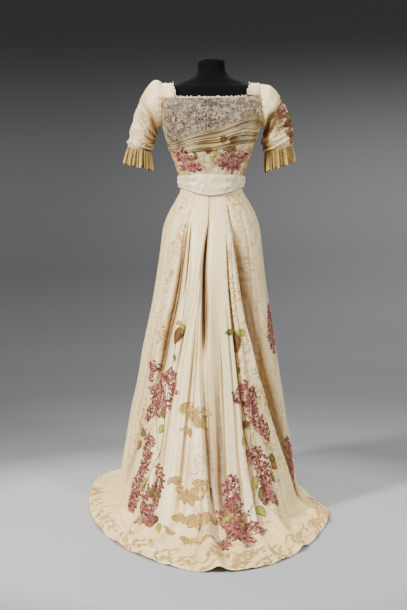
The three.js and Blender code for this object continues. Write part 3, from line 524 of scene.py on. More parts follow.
FINE_FOLDS = [  # narrow folds and sharp creases
    ([61, 54, 46, 40, 38], 3.4, 8.5, 12, 0.7, 1.3),
    ([64, 62, 50, 44, 43], 3.2, 6.8, 15, 0.8, 1.6),
    ([67, 67, 62, 60, 59], 4.4, 9.4, 7, 0.8, 1.4),
    ([86.3, 80, 82, 92, 95], 0.8, 6.8, 11, 0.45, 0.55),
    ([87.5, 81.5, 84, 93, 96], 3.6, 8.5, 6, 0.7, 1.8),
    ([86, 77.5, 66, 62, 60], 3.4, 11, 7, 0.9, 2.0),
    ([86, 79, 77, 73, 71], 5.0, 14, 9, 0.8, 1.8),
    ([86, 78, 70, 67, 66], 7.2, 12, 6, 0.8, 2.2),
    ([113.5, 117.6, 130.5, 160, 164], 1.6, 10.5, 13, 0.7, 1.2),
    ([107, 107.6, 111.5, 118, 121], 3.8, 11.5, 12, 0.7, 1.3),
    ([112, 113, 120, 128, 132], 4.4, 13, 8, 0.8, 1.5),
    ([132, 138, 141, 150, 158], 2.8, 7.6, 9, 0.8, 1.8),
    ([140, 145, 146, 156, 162], 3.6, 8.2, 8, 0.9, 2.2),
    ([94, 90, 93, 96.5, 100], 7.8, 14, 5, 0.9, 2.4),
    ([101, 96, 98.5, 101, 104], 6.8, 12.5, 8, 0.7, 1.4),
    ([106, 104, 106.5, 109.5, 112], 6.0, 14, 9, 0.8, 2.6),
    ([118, 122, 132, 145, 150], 8.5, 14, 7, 0.9, 2.0),
    ([50, 44, 34, 26, 24], 5.6, 13, 8, 0.8, 1.6),
    ([40, 37, 31, 27, 25], 4.4, 13, 7, 0.9, 1.8),
    ([20, 18, 16, 13, 11], 5.0, 14, 6, 1.5, 1.8),
    ([8, 8, 8, 7, 5], 4.6, 14, 5, 1.4, 1.4),
    ([-6, -7, -8, -9, -11], 5.4, 14, 5, 2.0, 2.0),
    ([172, 173, 175, 178, 180], 5.4, 14, 5, 1.8, 1.8),
    ([190, 191, 192, 194, 196], 5.8, 14, 4.5, 2.0, 2.0),
    ([226, 226, 225, 224, 223], 6.0, 14, 5, 1.8, 1.8),
    ([252, 252, 252, 251, 250], 6.4, 14, 4, 1.8, 1.8),
    ([278, 278, 279, 280, 281], 6.0, 14, 5, 1.8, 1.8),
    ([306, 306, 308, 309, 310], 5.6, 14, 5, 1.8, 1.8),
]
RIDGES = [  # angle at the floor and at the hem, heights there, half width
    (86, 92.5, 26, 17, 3.6), (74, 72, 11, 3, 2.8), (63, 60, 16, 5, 4.2), (49, 47, 20, 6, 3.6),
    (33, 30, 13, 6, 5), (101, 104, 12, 3, 4.5), (116, 118, 9, 2, 2.4), (130, 134, 20, 5, 4),
    (162, 166, 15, 7, 4),
]
print("skirt:", len(SKIRT_ROWS), "rows,", len(FOLDS) + len(FINE_FOLDS), "folds")

# %% [markdown]
# The skirt's surface is worked out for any angle and row: first the plain shape, then the depth of
# all folds, pushed in along the direction that points out of the cloth. Real folds have a crisp
# bottom and soft shoulders, so each trough is a wide bell with a narrow one in it.
# %% Surface of the skirt
FOLD_GROWTH = 4.0
FINE_GROWTH = 1.2
FOLD_FADE = 1.8


def line_angle(line, row):
    return through(LINE_ROWS, line, row)


def plain_skirt(angle, row):
    columns = [through(range(len(SKIRT_ROWS)), SKIRT_ROWS[:, k], row) for k in range(7)]
    z, left, right, back, front, middle, square = columns
    c, s = np.cos(angle * DEGREE), np.sin(angle * DEGREE)
    power = np.where((c > 0) & (s < 0), 2 / square, 1)
    reach = np.where(s > 0, back - middle, front + middle)
    share = ease(10.5, 15.5, row)
    around = angle % 360
    x = np.where(c > 0, left, right) * powered(c, power)
    x = x + through(HEM_SHIFTS[:, 0], HEM_SHIFTS[:, 1], around) * share
    y = middle + reach * powered(s, power)
    y = y + through(HEM_SHIFTS[:, 0], HEM_SHIFTS[:, 2], around) * share
    return np.stack(np.broadcast_arrays(x, y, z + 0 * x), -1)


def skirt_directions(angle, row):
    along = unit(plain_skirt(angle + 0.4, row) - plain_skirt(angle - 0.4, row))
    low, high = np.maximum(row - 0.05, 0), np.minimum(row + 0.05, HEM_ROW)
    down = plain_skirt(angle, high) - plain_skirt(angle, low)
    return along, unit(np.cross(down, along))


def fold_depth(angle, row, folds, growth):
    depth = 0.0
    for line, first, last, deep, left, right in folds:
        grown = ease(first, first + growth, row) * ease(last, last - FOLD_FADE, row)
        off = between_turns(angle, line_angle(line, row))
        wide = np.where(off > 0, right, left)
        depth = depth + deep * grown * (0.7 * bell(off, wide) + 0.3 * bell(off, 0.4 * wide))
    return depth


def skirt_surface(angle, row):
    """Points of the skirt's outer face, and how deep each lies in a large and a fine fold."""
    _, out = skirt_directions(angle, row)
    depth = fold_depth(angle, row, FOLDS, FOLD_GROWTH)
    fine = fold_depth(angle, row, FINE_FOLDS, FINE_GROWTH)
    height = 0.0
    for floor, hem, rise, hem_rise, width in RIDGES:
        middle = through([13, 16], [floor, hem], row)
        climb = through([10.5, 13.5, 16], [0, rise, hem_rise], row)
        height = height + climb * bell(between_turns(angle, middle), width)
    floor_share = ease(12.0, 14.5, row)
    hanging = ease(3.5, 7, row) * (1 - floor_share)
    hang = 0.9 * ripples(angle * 4.0, row * 22.0, 3, 8, 60.0, 0.7)
    hang = hang + 0.7 * ripples(angle * 4.0, row * 30.0, 7, 9, 30.0, 0.9)
    crumple = 1.6 * ripples(angle * 4.5, row * 60.0, 4, 9, 34.0, 1.2)
    crumple = crumple + 2.6 * creases(angle * 5.0, row * 90.0, 6, 5, 60.0, 1.3)
    flutter = 1.3 * (1 + ripples(angle, row, 5, 5, 9.0, 0.1)) * ease(15.2, 16, row)
    point = plain_skirt(angle, row)
    lift = height - depth - fine + hang * hanging + (crumple + flutter) * floor_share
    point = point + out * lift[..., None]
    point[..., 2] = np.maximum(point[..., 2], CLOTH + 0.6 * (1 + np.sin(angle * 1.7)))
    return point, depth, fine


print("waist point:", plain_skirt(np.array([90.0]), np.array([0.0])).round(1))

# %% [markdown]
# Each gore runs between two seams, and its columns are spaced evenly along the folded cloth, as
# the threads of the real one are. Marks say how near the hem a crossing is, how much painted shade
# it gets from lying deep in a fold, from a band beside the centre seam and from sharp creases, and
# how strong the woven blossoms are there.
# %% Gores
GORES = [  # name, from, to, turn added, columns, node
    ("gore_front", "front right", "front left", 360, 82, "skirt_front"),
    ("gore_side_left", "front left", "back left", 0, 80, "skirt_side_left"),
    ("gore_side_right", "back right", "front right", 0, 94, "skirt_side_right"),
    ("gore_back_left", "back left", "centre back", 0, 108, "skirt_back_left"),
    ("gore_back_right", "centre back", "back right", 0, 96, "skirt_back_right"),
]
GORE_ROWS = 160
SEAM_HALF_GAP = 0.2
SEAM_SINK = 0.7
FINE_STEPS = 900
SKIRT_CORE = [0, 100, -400]


def blossom_strength(angle, row, gore):
    """How strong the woven pattern is: full beside the seams and low in the middle of the back."""
    def near(seam, shift, width):
        return bell(between_turns(angle, line_angle(SEAMS[seam], row)) - shift, width)

    left = near("back left", -6, 9) * ease(2.5, 4.5, row)
    right = near("back right", -3, 4) * ease(2.0, 4.0, row) * (1 - ease(9, 12, row))
    right = right + 0.9 * near("back right", 14, 8) * ease(4.0, 6.0, row)
    middle = ease(9.2, 10.6, row) * near("centre back", -6.5, 8) * (1 - ease(15.0, 15.6, row))
    top = 0.35 * (1 - ease(2, 5, row))
    sides = 0.55 if "side" in gore else 0.0
    front = 0.4 if "front" in gore else 0.0
    return np.clip(left + right + middle + top + sides + front, 0, 1)


def make_gore(name, start, end, added, columns, node):
    rows = np.linspace(0, HEM_ROW, GORE_ROWS)
    fine = np.linspace(0, 1, FINE_STEPS)
    first, last = line_angle(SEAMS[start], rows), line_angle(SEAMS[end], rows) + added
    angles = first[:, None] + (last - first)[:, None] * fine
    points = skirt_surface(angles, np.repeat(rows[:, None], len(fine), 1))[0]
    lengths = np.linalg.norm(np.diff(points, axis=1), axis=2).cumsum(axis=1)
    lengths = np.concatenate([np.zeros((GORE_ROWS, 1)), lengths], axis=1)
    chosen = np.array([
        np.interp(np.linspace(0, length[-1], columns), length, angle)
        for length, angle in zip(lengths, angles)
    ])
    row = np.repeat(rows[:, None], columns, 1)
    points, depth, sharp = skirt_surface(chosen, row)
    along = unit(np.gradient(points, axis=1))
    points[:, 0] += along[:, 0] * SEAM_HALF_GAP
    points[:, -1] -= along[:, -1] * SEAM_HALF_GAP
    seam = np.zeros(columns)
    seam[[0, -1]] = SEAM_SINK
    inside = points * [0, 0, 1] + SKIRT_CORE
    points -= facing(points, inside) * seam[None, :, None]
    down = measured(points)[1]
    band = 1 - ease(200, 270, down[-1:] - down)
    # Painted shade: darker in the bottoms of folds and in a band beside the centre seam, less low on
    # the train; sharp creases are darkened too.
    from_line = between_turns(chosen, line_angle(SEAMS["centre back"], row))
    seam_shade = bell(from_line - 7, 7) * ease(4.5, 7, row) * (1 - ease(10.5, 13.5, row))
    fade = 0.6 * ease(10.5, 12.5, row) * ease(112, 100, chosen)
    valley = (0.55 * ease(2, 10, depth) + 0.45 * ease(8, 16, depth)) * (1 - fade) + 0.62 * seam_shade
    piece = lay_cloth(
        name, points, inside, hem_band=band, valley=np.clip(valley, 0, 1),
        crease=ease(4, 12, sharp) * (1 - 0.6 * ease(7.5, 10, row)),
        damask=blossom_strength(chosen, row, name),
    )
    dress(piece, skirt_satin, "skirt_satin", node)
    return piece


for gore in GORES:
    piece = make_gore(*gore)
    across, down = cloths[piece.name]["across"], cloths[piece.name]["down"]
    width, length = 2 * across[:, -1].max(), down[-1].max()
    print(piece.name, "hem", round(width, 3), "m, length", round(length, 3), "m")

# %% [markdown]
# The bodice is cut close to the corset. Its back and front are grids round the body between the
# side seams and armholes, with small tension creases towards the waist.
# %% Bodice
BODICE_RINGS = np.array([  # height, half width, back, front, middle, roundness
    [1063, 103, 84, 95, -4, 2.0], [1090, 109, 87, 102, -5, 2.05], [1120, 119, 91, 112, -6, 2.1],
    [1150, 130, 95, 124, -7, 2.15], [1190, 145, 99, 140, -8, 2.2], [1230, 158, 102, 150, -9, 2.3],
    [1262, 166, 104, 152, -10, 2.4], [1300, 174, 103, 144, -11, 2.5],
    [1340, 180, 97, 126, -12, 2.6], [1370, 182, 88, 106, -12, 2.6],
])
ARMHOLE = np.array([[1262, 166], [1276, 161.5], [1298, 160], [1322, 162], [1370, 162]])
BACK_NECK = np.array([[0, 1351], [0.2, 1349.5], [0.4, 1346], [0.6, 1347], [0.8, 1356], [1, 1360]])
WAIST_Z, UNDERARM_Z, FRONT_NECK_Z = 1063, 1262, 1322
PANEL_COLUMNS, PANEL_ROWS = 120, 66
STRAP_INNER_X, STRAP_OUTER_X, STRAP_TOP_Z = 131, 162, 1399.5
STRAP_FLARE = 9
SEAM_GAP = 0.4


def edge_angle(z):
    side, _, _, _, roundness = ring_at(BODICE_RINGS, z)
    x = through(ARMHOLE[:, 0], ARMHOLE[:, 1], z)
    angle = np.arccos(np.minimum(1, (x / side) ** (roundness / 2))) / DEGREE
    return np.where(z <= UNDERARM_Z, 0, angle)


def panel_angle(across, z):
    share = np.minimum(across, 1 - across)
    angle = np.maximum(180 * share, edge_angle(z) + 50 * share)
    return np.where(across < 0.5, angle, 180 - angle)


def back_point(across, z, lift=0.0):
    return ring_point(ring_at(BODICE_RINGS, z), z, panel_angle(across, z), lift)


def front_point(across, z, lift=0.0):
    return ring_point(ring_at(BODICE_RINGS, z), z, 180 + panel_angle(across, z), lift)


def neck_z(across):
    return through(BACK_NECK[:, 0], BACK_NECK[:, 1], across)


def front_neck_z(across):
    return FRONT_NECK_Z + 0 * across


def make_panel(name, panel_point, top, node, relief):
    across, up = crossings(PANEL_COLUMNS, PANEL_ROWS, 0.002, 0.998)
    z = WAIST_Z + (top(across) - WAIST_Z) * up
    points = panel_point(across, z, relief(across, z))
    edge = np.minimum(across, 1 - across)
    # Painted shade: darker towards the side seams, along narrow crease lines and across the lower
    # middle.
    shade = creases(across * 280, z - WAIST_Z, 13, 4, 40.0, 1.3) * ease(1230, 1180, z)
    low = bell(across - 0.48, 0.22) * bell(z - 1135, 34)
    piece = lay_cloth(name, points, points * [0, 0, 1], damask=bell(edge, 0.30),
                      valley=np.clip(0.6 * bell(edge, 0.16) + 0.3 * shade, 0, 1),
                      crease=np.clip(0.34 * shade + 0.36 * low, 0, 1))
    dress(piece, bodice_satin, "satin", node)
    return piece


def back_relief(across, z):
    tension = creases(across * 280, z - WAIST_Z, 11, 5, 40.0, 1.2)
    sides = bell(np.minimum(across, 1 - across), 0.22)
    calm = 1 - ease(1170, 1200, z)
    return 2.2 * tension * calm * (0.5 + sides) * ease(1064, 1090, z)


def front_relief(across, z):
    gathers = creases(across * 300, (z - WAIST_Z) * 0.12, 12, 3, 26.0, 0.15)
    return 2.6 * gathers * ease(1085, 1130, z) * (1 - 0.6 * ease(1290, 1322, z))


piece = make_panel("bodice_back_panel", back_point, neck_z, "bodice_back", back_relief)
make_panel("bodice_front_panel", front_point, front_neck_z, "bodice_front", front_relief)
print("bodice back:", len(piece.data.polygons), "faces")

# %% [markdown]
# A strap goes over each shoulder from the back panel to the front, gathered along its length.
# %% Straps
def strap_point(side, across, along, lift=0.0):
    inner = STRAP_INNER_X - STRAP_FLARE * (ease(0.30, 0, along) + ease(0.8, 1, along))
    x = inner + (STRAP_OUTER_X - inner) * across
    ends = []
    for z, sense in ((float(neck_z(0.0 if side > 0 else 1.0)), 1), (FRONT_NECK_Z, -1)):
        ring = ring_at(BODICE_RINGS, z + SEAM_GAP)
        angle = np.arccos((x / ring[0]) ** (ring[4] / 2)) / DEGREE
        ends.append(ring_point(ring, z + SEAM_GAP, sense * angle))
    low = ends[0][..., 2] + (ends[1][..., 2] - ends[0][..., 2]) * along
    middle = (ends[0][..., 1] + ends[1][..., 1]) / 2
    half = (ends[0][..., 1] - ends[1][..., 1]) / 2 + lift
    rise = np.sin(math.pi * along) ** 0.75
    y = middle + half * np.cos(math.pi * along)
    return np.stack(np.broadcast_arrays(side * x, y, low + (STRAP_TOP_Z + lift - low) * rise), -1)


def make_strap(name, side, node):
    across, along = crossings(22, 90, top=0.0005, bottom=0.9995)
    gathers = creases(across * 31, along * 60, 21 if side > 0 else 22, 3, 11.0, 0.3)
    lift = 1.6 * gathers * np.sin(math.pi * along) ** 0.5 - 0.2
    ends = bell(along, 0.06) + bell(1 - along, 0.06)
    points = strap_point(side, across, along, lift + 1.5 * ends)
    points[..., 2] -= 5.0 * ends
    points[..., 1] += 1.4 * (bell(along, 0.06) - bell(1 - along, 0.06))
    inside = points * [1, 0, 0] + [0, -12, 1300]
    # Painted shade between the gathers.
    piece = lay_cloth(name, points, inside, 1.4, damask=0.6, valley=0.25 * (1 - gathers))
    dress(piece, bodice_satin, "satin", node)
    return piece


for name, side, node in (("strap_cloth_left", 1, "strap_left"),
                         ("strap_cloth_right", -1, "strap_right")):
    print(make_strap(name, side, node).name, "made")

# %% [markdown]
# A length of soft golden silk is pleated across the back and drawn up to the right shoulder. Each
# pleat is pressed over the next, so it rises fast at its lower edge and falls back slowly.
# %% Pleated drape
DRAPE_EDGES = np.array([  # across, bottom, top
    [0, 1172, 1190], [0.25, 1167, 1206], [0.5, 1174, 1242], [0.62, 1186, 1265],
    [0.75, 1198, 1288], [0.88, 1203, 1303], [1, 1206, 1306],
])
LAYER_GAP = 1.0
PLEAT_EDGES = [0, 0.09, 0.30, 0.47, 0.56, 0.80, 1.0]
PLEAT_SHADING = np.array([0.12, 0.42, 0.08, 0.62, 0.24, 0.14])


def drape_edge(across, column):
    return through(DRAPE_EDGES[:, 0], DRAPE_EDGES[:, column], across)


silk = Finish("pleated silk", Roughness=0.4, Sheen_Weight=0.15, Specular_IOR_Level=0.5)
flat = silk.flat()
# The tone mark runs from painted shade, dark brown, to painted light, pale gold.
tone = silk.mark("tone")
colour = silk.mix(tone, (0.105, 0.06, 0.016), (0.60, 0.46, 0.23))
sheen = silk.mask(silk.noise(silk.scaled(flat, (6, 90, 6)), 1.0, 3.0), 0.4, 0.7)
silk.set("Base Color", silk.tinted(colour, sheen, 0.35, (0.42, 0.29, 0.11)))
silk.set("Normal", weave(silk, flat, 0.4, 0.5))


def drape_relief(across, up):
    """How far the pleats stand up, and which pleat and part of it a point lies in."""
    wander = 0.07 * ripples(across * 9, up * 2, 31, 4, 4.5, 0.3)
    wander = wander + 0.05 * np.sin(7 * across + 5 * up)
    pleat = np.clip(up + wander * np.sin(math.pi * up), 0, 1)
    pleat = np.interp(pleat, PLEAT_EDGES, range(len(PLEAT_EDGES))) * 0.99999
    phase = pleat % 1
    spread = (0.45 + 0.75 * ease(0, 0.7, across)) * ease(1.0, 0.88, across)
    press = np.where(phase < 0.16, phase / 0.16, (1 - (phase - 0.16) / 0.84) ** 0.9)
    uneven = 0.7 + 0.3 * ripples(across * 5, pleat.astype(int) * 3.1, 33, 3, 3.0, 0.5)
    relief = 4.8 * spread * press * uneven * ease(0, 0.03, up) * ease(1.0, 0.97, up)
    gathers = creases(across * 60 + up * 8, up * 46, 32, 4, 5.5, 1.45)
    return np.maximum(relief + 1.3 * spread * gathers, 0), pleat, phase


across, up = crossings(176, 100, 0.01, 0.955)
relief, pleat, phase = drape_relief(across, up)
z = drape_edge(across, 1) + (drape_edge(across, 2) - drape_edge(across, 1)) * up
points = back_point(across, z, LAYER_GAP + CLOTH + relief)
# Painted light and shade: each pleat has its own tone, lighter across part of its face, with a painted
# highlight on the fourth pleat towards the right and a little random variation.
lit = ease(0.1, 0.35, phase) * ease(1.1, 0.6, phase)
tone = PLEAT_SHADING[pleat.astype(int)] * (0.25 + 0.95 * lit)
painted_highlight = bell(pleat - 3.5, 0.9) * ease(0.45, 0.75, across)
tone = np.clip(tone + 0.50 * painted_highlight + 0.14 * ripples(across * 30, up * 9, 34, 4, 4.0, 0.4), 0, 1)
piece = lay_cloth("drape_silk_pleats", points, points * [0, 0, 1], tone=tone)
dress(piece, silk.material, "drape_silk", "drape_back")
print("drape:", len(PLEAT_SHADING), "pleats")

# %% [markdown]
# Above the drape lies lace on a grey lilac lining. Lace is a mesh of twisted threads, so it is
# made as one: an irregular net cut from a jittered grid by the wireframe operator. Curls of cord
# and small worked flowers are laid on it further on.
# %% Lace and its lining
lining = Finish("lace lining", Roughness=0.5, Sheen_Weight=0.1)
flat = lining.flat()
mottle = lining.mask(lining.noise(flat, 130.0, 3.0, 0.6), 0.4, 0.65)
lining.set("Base Color", lining.mix(mottle, (0.012, 0.009, 0.010), (0.115, 0.085, 0.082)))
lining.set("Normal", weave(lining, flat))

thread = Finish("lace thread", Roughness=0.75, Sheen_Weight=0.15, Specular_IOR_Level=0.3)
place = thread.place()
tint = thread.mask(thread.noise(place, 60.0, 3.0), 0.35, 0.65)
twist = thread.wave(thread.scaled(place, (900, 900, 900)), 1.0, 2.0, "Z")
thread.set("Base Color", thread.mix(tint, (0.66, 0.56, 0.42), (0.34, 0.22, 0.11)))
thread.set("Normal", thread.bump(twist, 0.0002, 0.5))

LACE_LEFT, LACE_RIGHT = 0.062, 0.982
LACE_LIFT = LAYER_GAP + FINE_CLOTH


def lace_point(share, up, lift):
    across = LACE_LEFT + (LACE_RIGHT - LACE_LEFT) * share
    low, high = drape_edge(across, 2) + SEAM_GAP, neck_z(across) - SEAM_GAP
    return back_point(across, low + (high - low) * up, lift)


points = lace_point(*crossings(90, 40), LACE_LIFT - 0.7)
piece = lay_cloth("lace_lining", points, points * [0, 0, 1], 0.6)
dress(piece, lining.material, "lace", "lace_back")

NET_ACROSS, NET_UP = 54, 28
draw = np.random.default_rng(41)
net = bmesh.new()
bmesh.ops.create_grid(net, x_segments=NET_ACROSS, y_segments=NET_UP, size=1)
net.verts.ensure_lookup_table()
flat = np.array([v.co for v in net.verts])
edge = np.max(np.abs(flat[:, :2]), axis=1) > 0.999
jitter = draw.uniform(-1, 1, (len(flat), 2)) * [0.55 / NET_ACROSS, 0.55 / NET_UP]
flat[:, :2] += np.where(edge[:, None], 0, jitter)
places = lace_point((flat[:, 0] + 1) / 2, (flat[:, 1] + 1) / 2, LACE_LIFT + 0.3)
for vertex, spot in zip(net.verts, places):
    vertex.co = spot * MM
loose = [e for e in net.edges if not e.is_boundary and draw.random() < 0.44]
bmesh.ops.dissolve_edges(net, edges=loose)
bmesh.ops.triangulate(net, faces=[f for f in net.faces if len(f.verts) > 8])
bmesh.ops.recalc_face_normals(net, faces=net.faces[:])
if sum(f.normal.y for f in net.faces) < 0:
    bmesh.ops.reverse_faces(net, faces=net.faces[:])
bmesh.ops.wireframe(net, faces=net.faces[:], thickness=1.05 * MM, use_replace=True,
                    use_boundary=True, use_even_offset=True)
mesh = bpy.data.meshes.new("lace_net")
net.to_mesh(mesh)
net.free()
dress(new_piece("lace_net", mesh), thread.material, "lace", "lace_back")
print("lace net:", len(mesh.polygons), "faces")

# %% [markdown]
# Curls of cord lie on the net. One curl is spun from a small square of thread through most of a
# turn, then set down again and again at seeded places, each turned its own way.
# %% Lace curls
def curl_mesh(radius, cord, turn):
    made = bmesh.new()
    bmesh.ops.create_circle(made, cap_ends=False, radius=cord, segments=4)
    bmesh.ops.rotate(made, verts=made.verts, cent=(0, 0, 0), matrix=ROTATE_UP)
    bmesh.ops.translate(made, verts=made.verts, vec=(radius, 0, 0))
    bmesh.ops.spin(made, geom=made.verts[:] + made.edges[:], cent=(0, 0, 0), axis=(0, 0, 1),
                   angle=turn, steps=7, use_merge=False)
    bmesh.ops.holes_fill(made, edges=[e for e in made.edges if e.is_boundary])
    bmesh.ops.recalc_face_normals(made, faces=made.faces[:])
    mesh = bpy.data.meshes.new("curl")
    made.to_mesh(mesh)
    made.free()
    return mesh


ROTATE_UP = Matrix.Rotation(math.pi / 2, 3, "X")
curl = curl_mesh(3.1, 0.62, 1.6 * math.pi)
curl_shape = np.array([v.co for v in curl.vertices])
CURLS = 560
draw = np.random.default_rng(43)
gathered = bmesh.new()
places = []
for _ in range(CURLS):
    gathered.from_mesh(curl)
    share, up, turn = draw.uniform(0.01, 0.99), draw.uniform(0.02, 0.98), draw.uniform(0, 6.3)
    size = draw.uniform(0.55, 1.2)
    shares, ups = np.array([share, share + 0.004, share]), np.array([up, up, up + 0.01])
    middle, right, above = lace_point(shares, ups, LACE_LIFT + 1.1)
    right, above = unit(right - middle), unit(above - middle)
    out = np.cross(right, above)
    out = out if out[1] > 0 else -out
    c, s = math.cos(turn) * size, math.sin(turn) * size
    x = curl_shape[:, :1] * c - curl_shape[:, 1:2] * s
    y = curl_shape[:, :1] * s + curl_shape[:, 1:2] * c
    places.append(middle + x * right + y * above + curl_shape[:, 2:] * out)
for vertex, spot in zip(gathered.verts, np.concatenate(places)):
    vertex.co = spot * MM
bmesh.ops.recalc_face_normals(gathered, faces=gathered.faces[:])
mesh = bpy.data.meshes.new("lace_curls")
gathered.to_mesh(mesh)
gathered.free()
dress(new_piece("lace_curls", mesh), thread.material, "lace")
print("curls:", CURLS, "with", len(mesh.polygons), "faces")

# %% [markdown]
# A narrow scalloped edging stands up round the whole neckline: along the back, over the inner
# edges of the straps and across the front.
# %% Neck edging
EDGING_HEIGHT = 6.0
SCALLOPS = 56
EDGE_STEPS, STRAP_STEPS = 240, 150
edging = Finish("edging thread", Roughness=0.7, Specular_IOR_Level=0.3)
loops = edging.noise(edging.place(), 380.0, 2.0)
edging.set("Base Color", edging.mix(edging.mask(loops, 0.3, 0.7), (0.84, 0.76, 0.60),
                                    (0.44, 0.34, 0.22)))
edging.set("Normal", edging.bump(loops, 0.0005, 0.7))


def panel_edge(point, top, sense):
    """Places along a panel's neckline, the way the edging stands there, and the way it waves."""
    ring = ring_at(BODICE_RINGS, float(top(np.array(0.5))))
    corner = (STRAP_INNER_X - STRAP_FLARE - EDGING_HEIGHT + 2) / ring[0]
    start = math.acos(corner ** (ring[4] / 2)) / DEGREE / 180
    across = np.linspace(start, 1 - start, EDGE_STEPS)
    spot = point(across, top(across) + SEAM_GAP, -FINE_CLOTH / 2)
    return spot, np.tile([0.0, 0, 1], (EDGE_STEPS, 1)), np.tile([0.0, sense, 0], (EDGE_STEPS, 1))


def strap_edge(side, along):
    spot = strap_point(side, 0 * along, along, -FINE_CLOTH / 2)
    spot[:, 0] -= side * (SEAM_GAP + FINE_CLOTH / 2)
    rise = np.sin(math.pi * along)
    stand = unit(np.stack([-side * (1.15 - rise), 0 * rise, rise], -1))
    wave = unit(np.stack([side * rise, np.cos(math.pi * along), 0 * rise], -1))
    return spot, stand, wave


along = 0.09 + 0.82 * np.linspace(0, 1, STRAP_STEPS)
edges = [panel_edge(back_point, neck_z, 1), strap_edge(-1, along),
         panel_edge(front_point, front_neck_z, -1), strap_edge(1, along[::-1])]
spots, stands, waves = [np.concatenate([*part, part[0][:1]]) for part in zip(*edges)]
run = np.linspace(0, 1, len(spots))
bow = np.abs(np.sin(math.pi * SCALLOPS * run))
uneven = 0.8 + 0.35 * np.sin(37 * 2 * math.pi * run + np.sin(90 * run))
height = EDGING_HEIGHT * (0.3 + 0.8 * uneven * bow**0.7)
rows = []
for out in np.linspace(0, 1, 7):
    swing = 0.9 * np.sin(math.pi * SCALLOPS * run) * out + 0.35 * math.sin(9 * out)
    rows.append(spots + stands * (height * out)[:, None] + waves * swing[:, None])
points = np.array(rows)
piece = lay_cloth("neck_scallops", points, points * [0.8, 0.8, 1], 0.9, ring=True)
dress(piece, edging.material, "lace", "neck_edging")
print("edging:", SCALLOPS, "scallops")

# %% [markdown]
# The belt is soft ivory silk, folded lengthwise and pinned over the waist seam. Its folds run a
# little aslant, and its lower edge dips at the back.
# %% Belt
BELT_ROWS = np.array([  # share down, half width, back, front, fold
    [0, 113, 92, 106, 0], [0.22, 113.4, 93, 106.4, 1.6], [0.42, 113, 93.5, 106, 0],
    [0.65, 112.6, 95.5, 106.5, 1.8], [0.86, 112, 97.5, 106.5, 0], [1, 113, 100, 107.5, 0],
])
angle, down = crossings(289, 32, 0, 360)
behind = np.maximum(0, np.sin(angle * DEGREE))
top, bottom = 1089 + 6 * behind**2, 1051 - 26 * behind**3
z = top + (bottom - top) * down
side, back, front, fold = [through(BELT_ROWS[:, 0], BELT_ROWS[:, k], down) for k in range(1, 5)]
around = between_turns(angle, 90)
slant = creases(around * 1.9 + down * 55, down * 60, 51, 4, 44.0, 1.0)
gathers = creases(around * 2.0, down * 20, 52, 3, 9.0, 0.3) * bell(around - 32, 16)
fold = fold * 0.6 + 2.6 * slant * np.sin(math.pi * down) ** 0.5 + 1.8 * gathers
ring = (side, back, front, -4 + 0 * side, 2 + 0 * side)
points = ring_point(ring, z, angle, fold)
# Painted shade: between the slanting folds on both sides of the back, and along the lower edge.
shade = 0.7 * (1 - slant) * bell(np.abs(around) - 38, 26) + 0.35 * bell(down - 1, 0.05)
piece = lay_cloth("belt_folds", points, points * [0, 0, 1], 2.2, ring=True, crease=0.4 * shade)
dress(piece, belt_silk, "belt_silk", "belt")
print("belt:", len(piece.data.polygons), "faces")

# %% [markdown]
# The elbow sleeves are full at the shoulder, gathered into the armhole and again into the cuff.
# Rings between the armhole and the cuff give the shape, and creases are pushed into it: long
# gathers at both ends and soft cross folds on the lower arm. Below the full head a part of the
# sleeve steps in under a lip of cloth, deeper on the wearer's right.
# %% Sleeves
LEFT_SLEEVE = [  # outer x, outer z, inner x, inner z, half depth, middle y
    (177, 1411, 171, 1257, 72, -9), (199, 1410, 175, 1250, 74, -9),
    (224, 1383, 179, 1243, 70, -10), (242, 1346, 182, 1234, 64, -11),
    (254, 1310, 185, 1223, 58, -12), (267, 1267, 189, 1208, 53, -13),
    (277, 1226, 194, 1193, 50, -14), (283, 1203, 200, 1181, 47, -14),
    (284, 1188, 207, 1170, 43, -14),
]
RIGHT_SLEEVE = [
    (178, 1398, 171, 1257, 72, -9), (203, 1394, 173, 1250, 75, -9),
    (227, 1371, 174, 1241, 72, -10), (242, 1340, 175, 1230, 67, -11),
    (255, 1311, 175, 1217, 63, -12), (269, 1276, 175, 1204, 56, -13),
    (275, 1242, 175, 1190, 54, -14), (278, 1212, 177, 1177, 51, -14),
    (276, 1192, 181, 1167, 46, -14),
]
SLEEVE_COLUMNS, SLEEVE_ROWS = 121, 96


def armhole_ring(side, count):
    rise = np.linspace(0, 1, 60)
    end = 0.0 if side > 0 else 1.0
    back_z = UNDERARM_Z + (float(neck_z(end)) - UNDERARM_Z) * rise
    front_z = FRONT_NECK_Z + (UNDERARM_Z - FRONT_NECK_Z) * rise
    outline = np.concatenate([
        back_point(end + 0 * rise, back_z),
        strap_point(side, 1 + 0 * rise, rise)[1:],
        front_point(1 - end + 0 * rise, front_z)[1:],
    ])
    lengths = np.concatenate([[0], np.linalg.norm(np.diff(outline, axis=0), axis=1).cumsum()])
    wanted = np.linspace(0, lengths[-1], count)
    ring = np.stack([np.interp(wanted, lengths, outline[:, k]) for k in range(3)], -1)
    ring[:, 0] += side * 2 * SEAM_GAP
    return ring


def arm_ring(row, side, count, push=0.0):
    outer_x, outer_z, inner_x, inner_z, half, y = row[:6]
    outer, inner = np.array([side * outer_x, y, outer_z]), np.array([side * inner_x, y, inner_z])
    middle = (outer + inner) / 2
    turn = np.linspace(0, 2 * math.pi, count)[:, None]
    out = (inner - middle) * np.cos(turn) + np.array([0, half, 0]) * np.sin(turn)
    reach = np.linalg.norm(out, axis=1, keepdims=True)
    return middle + out * (1 + np.reshape(push, (-1, 1)) / reach)


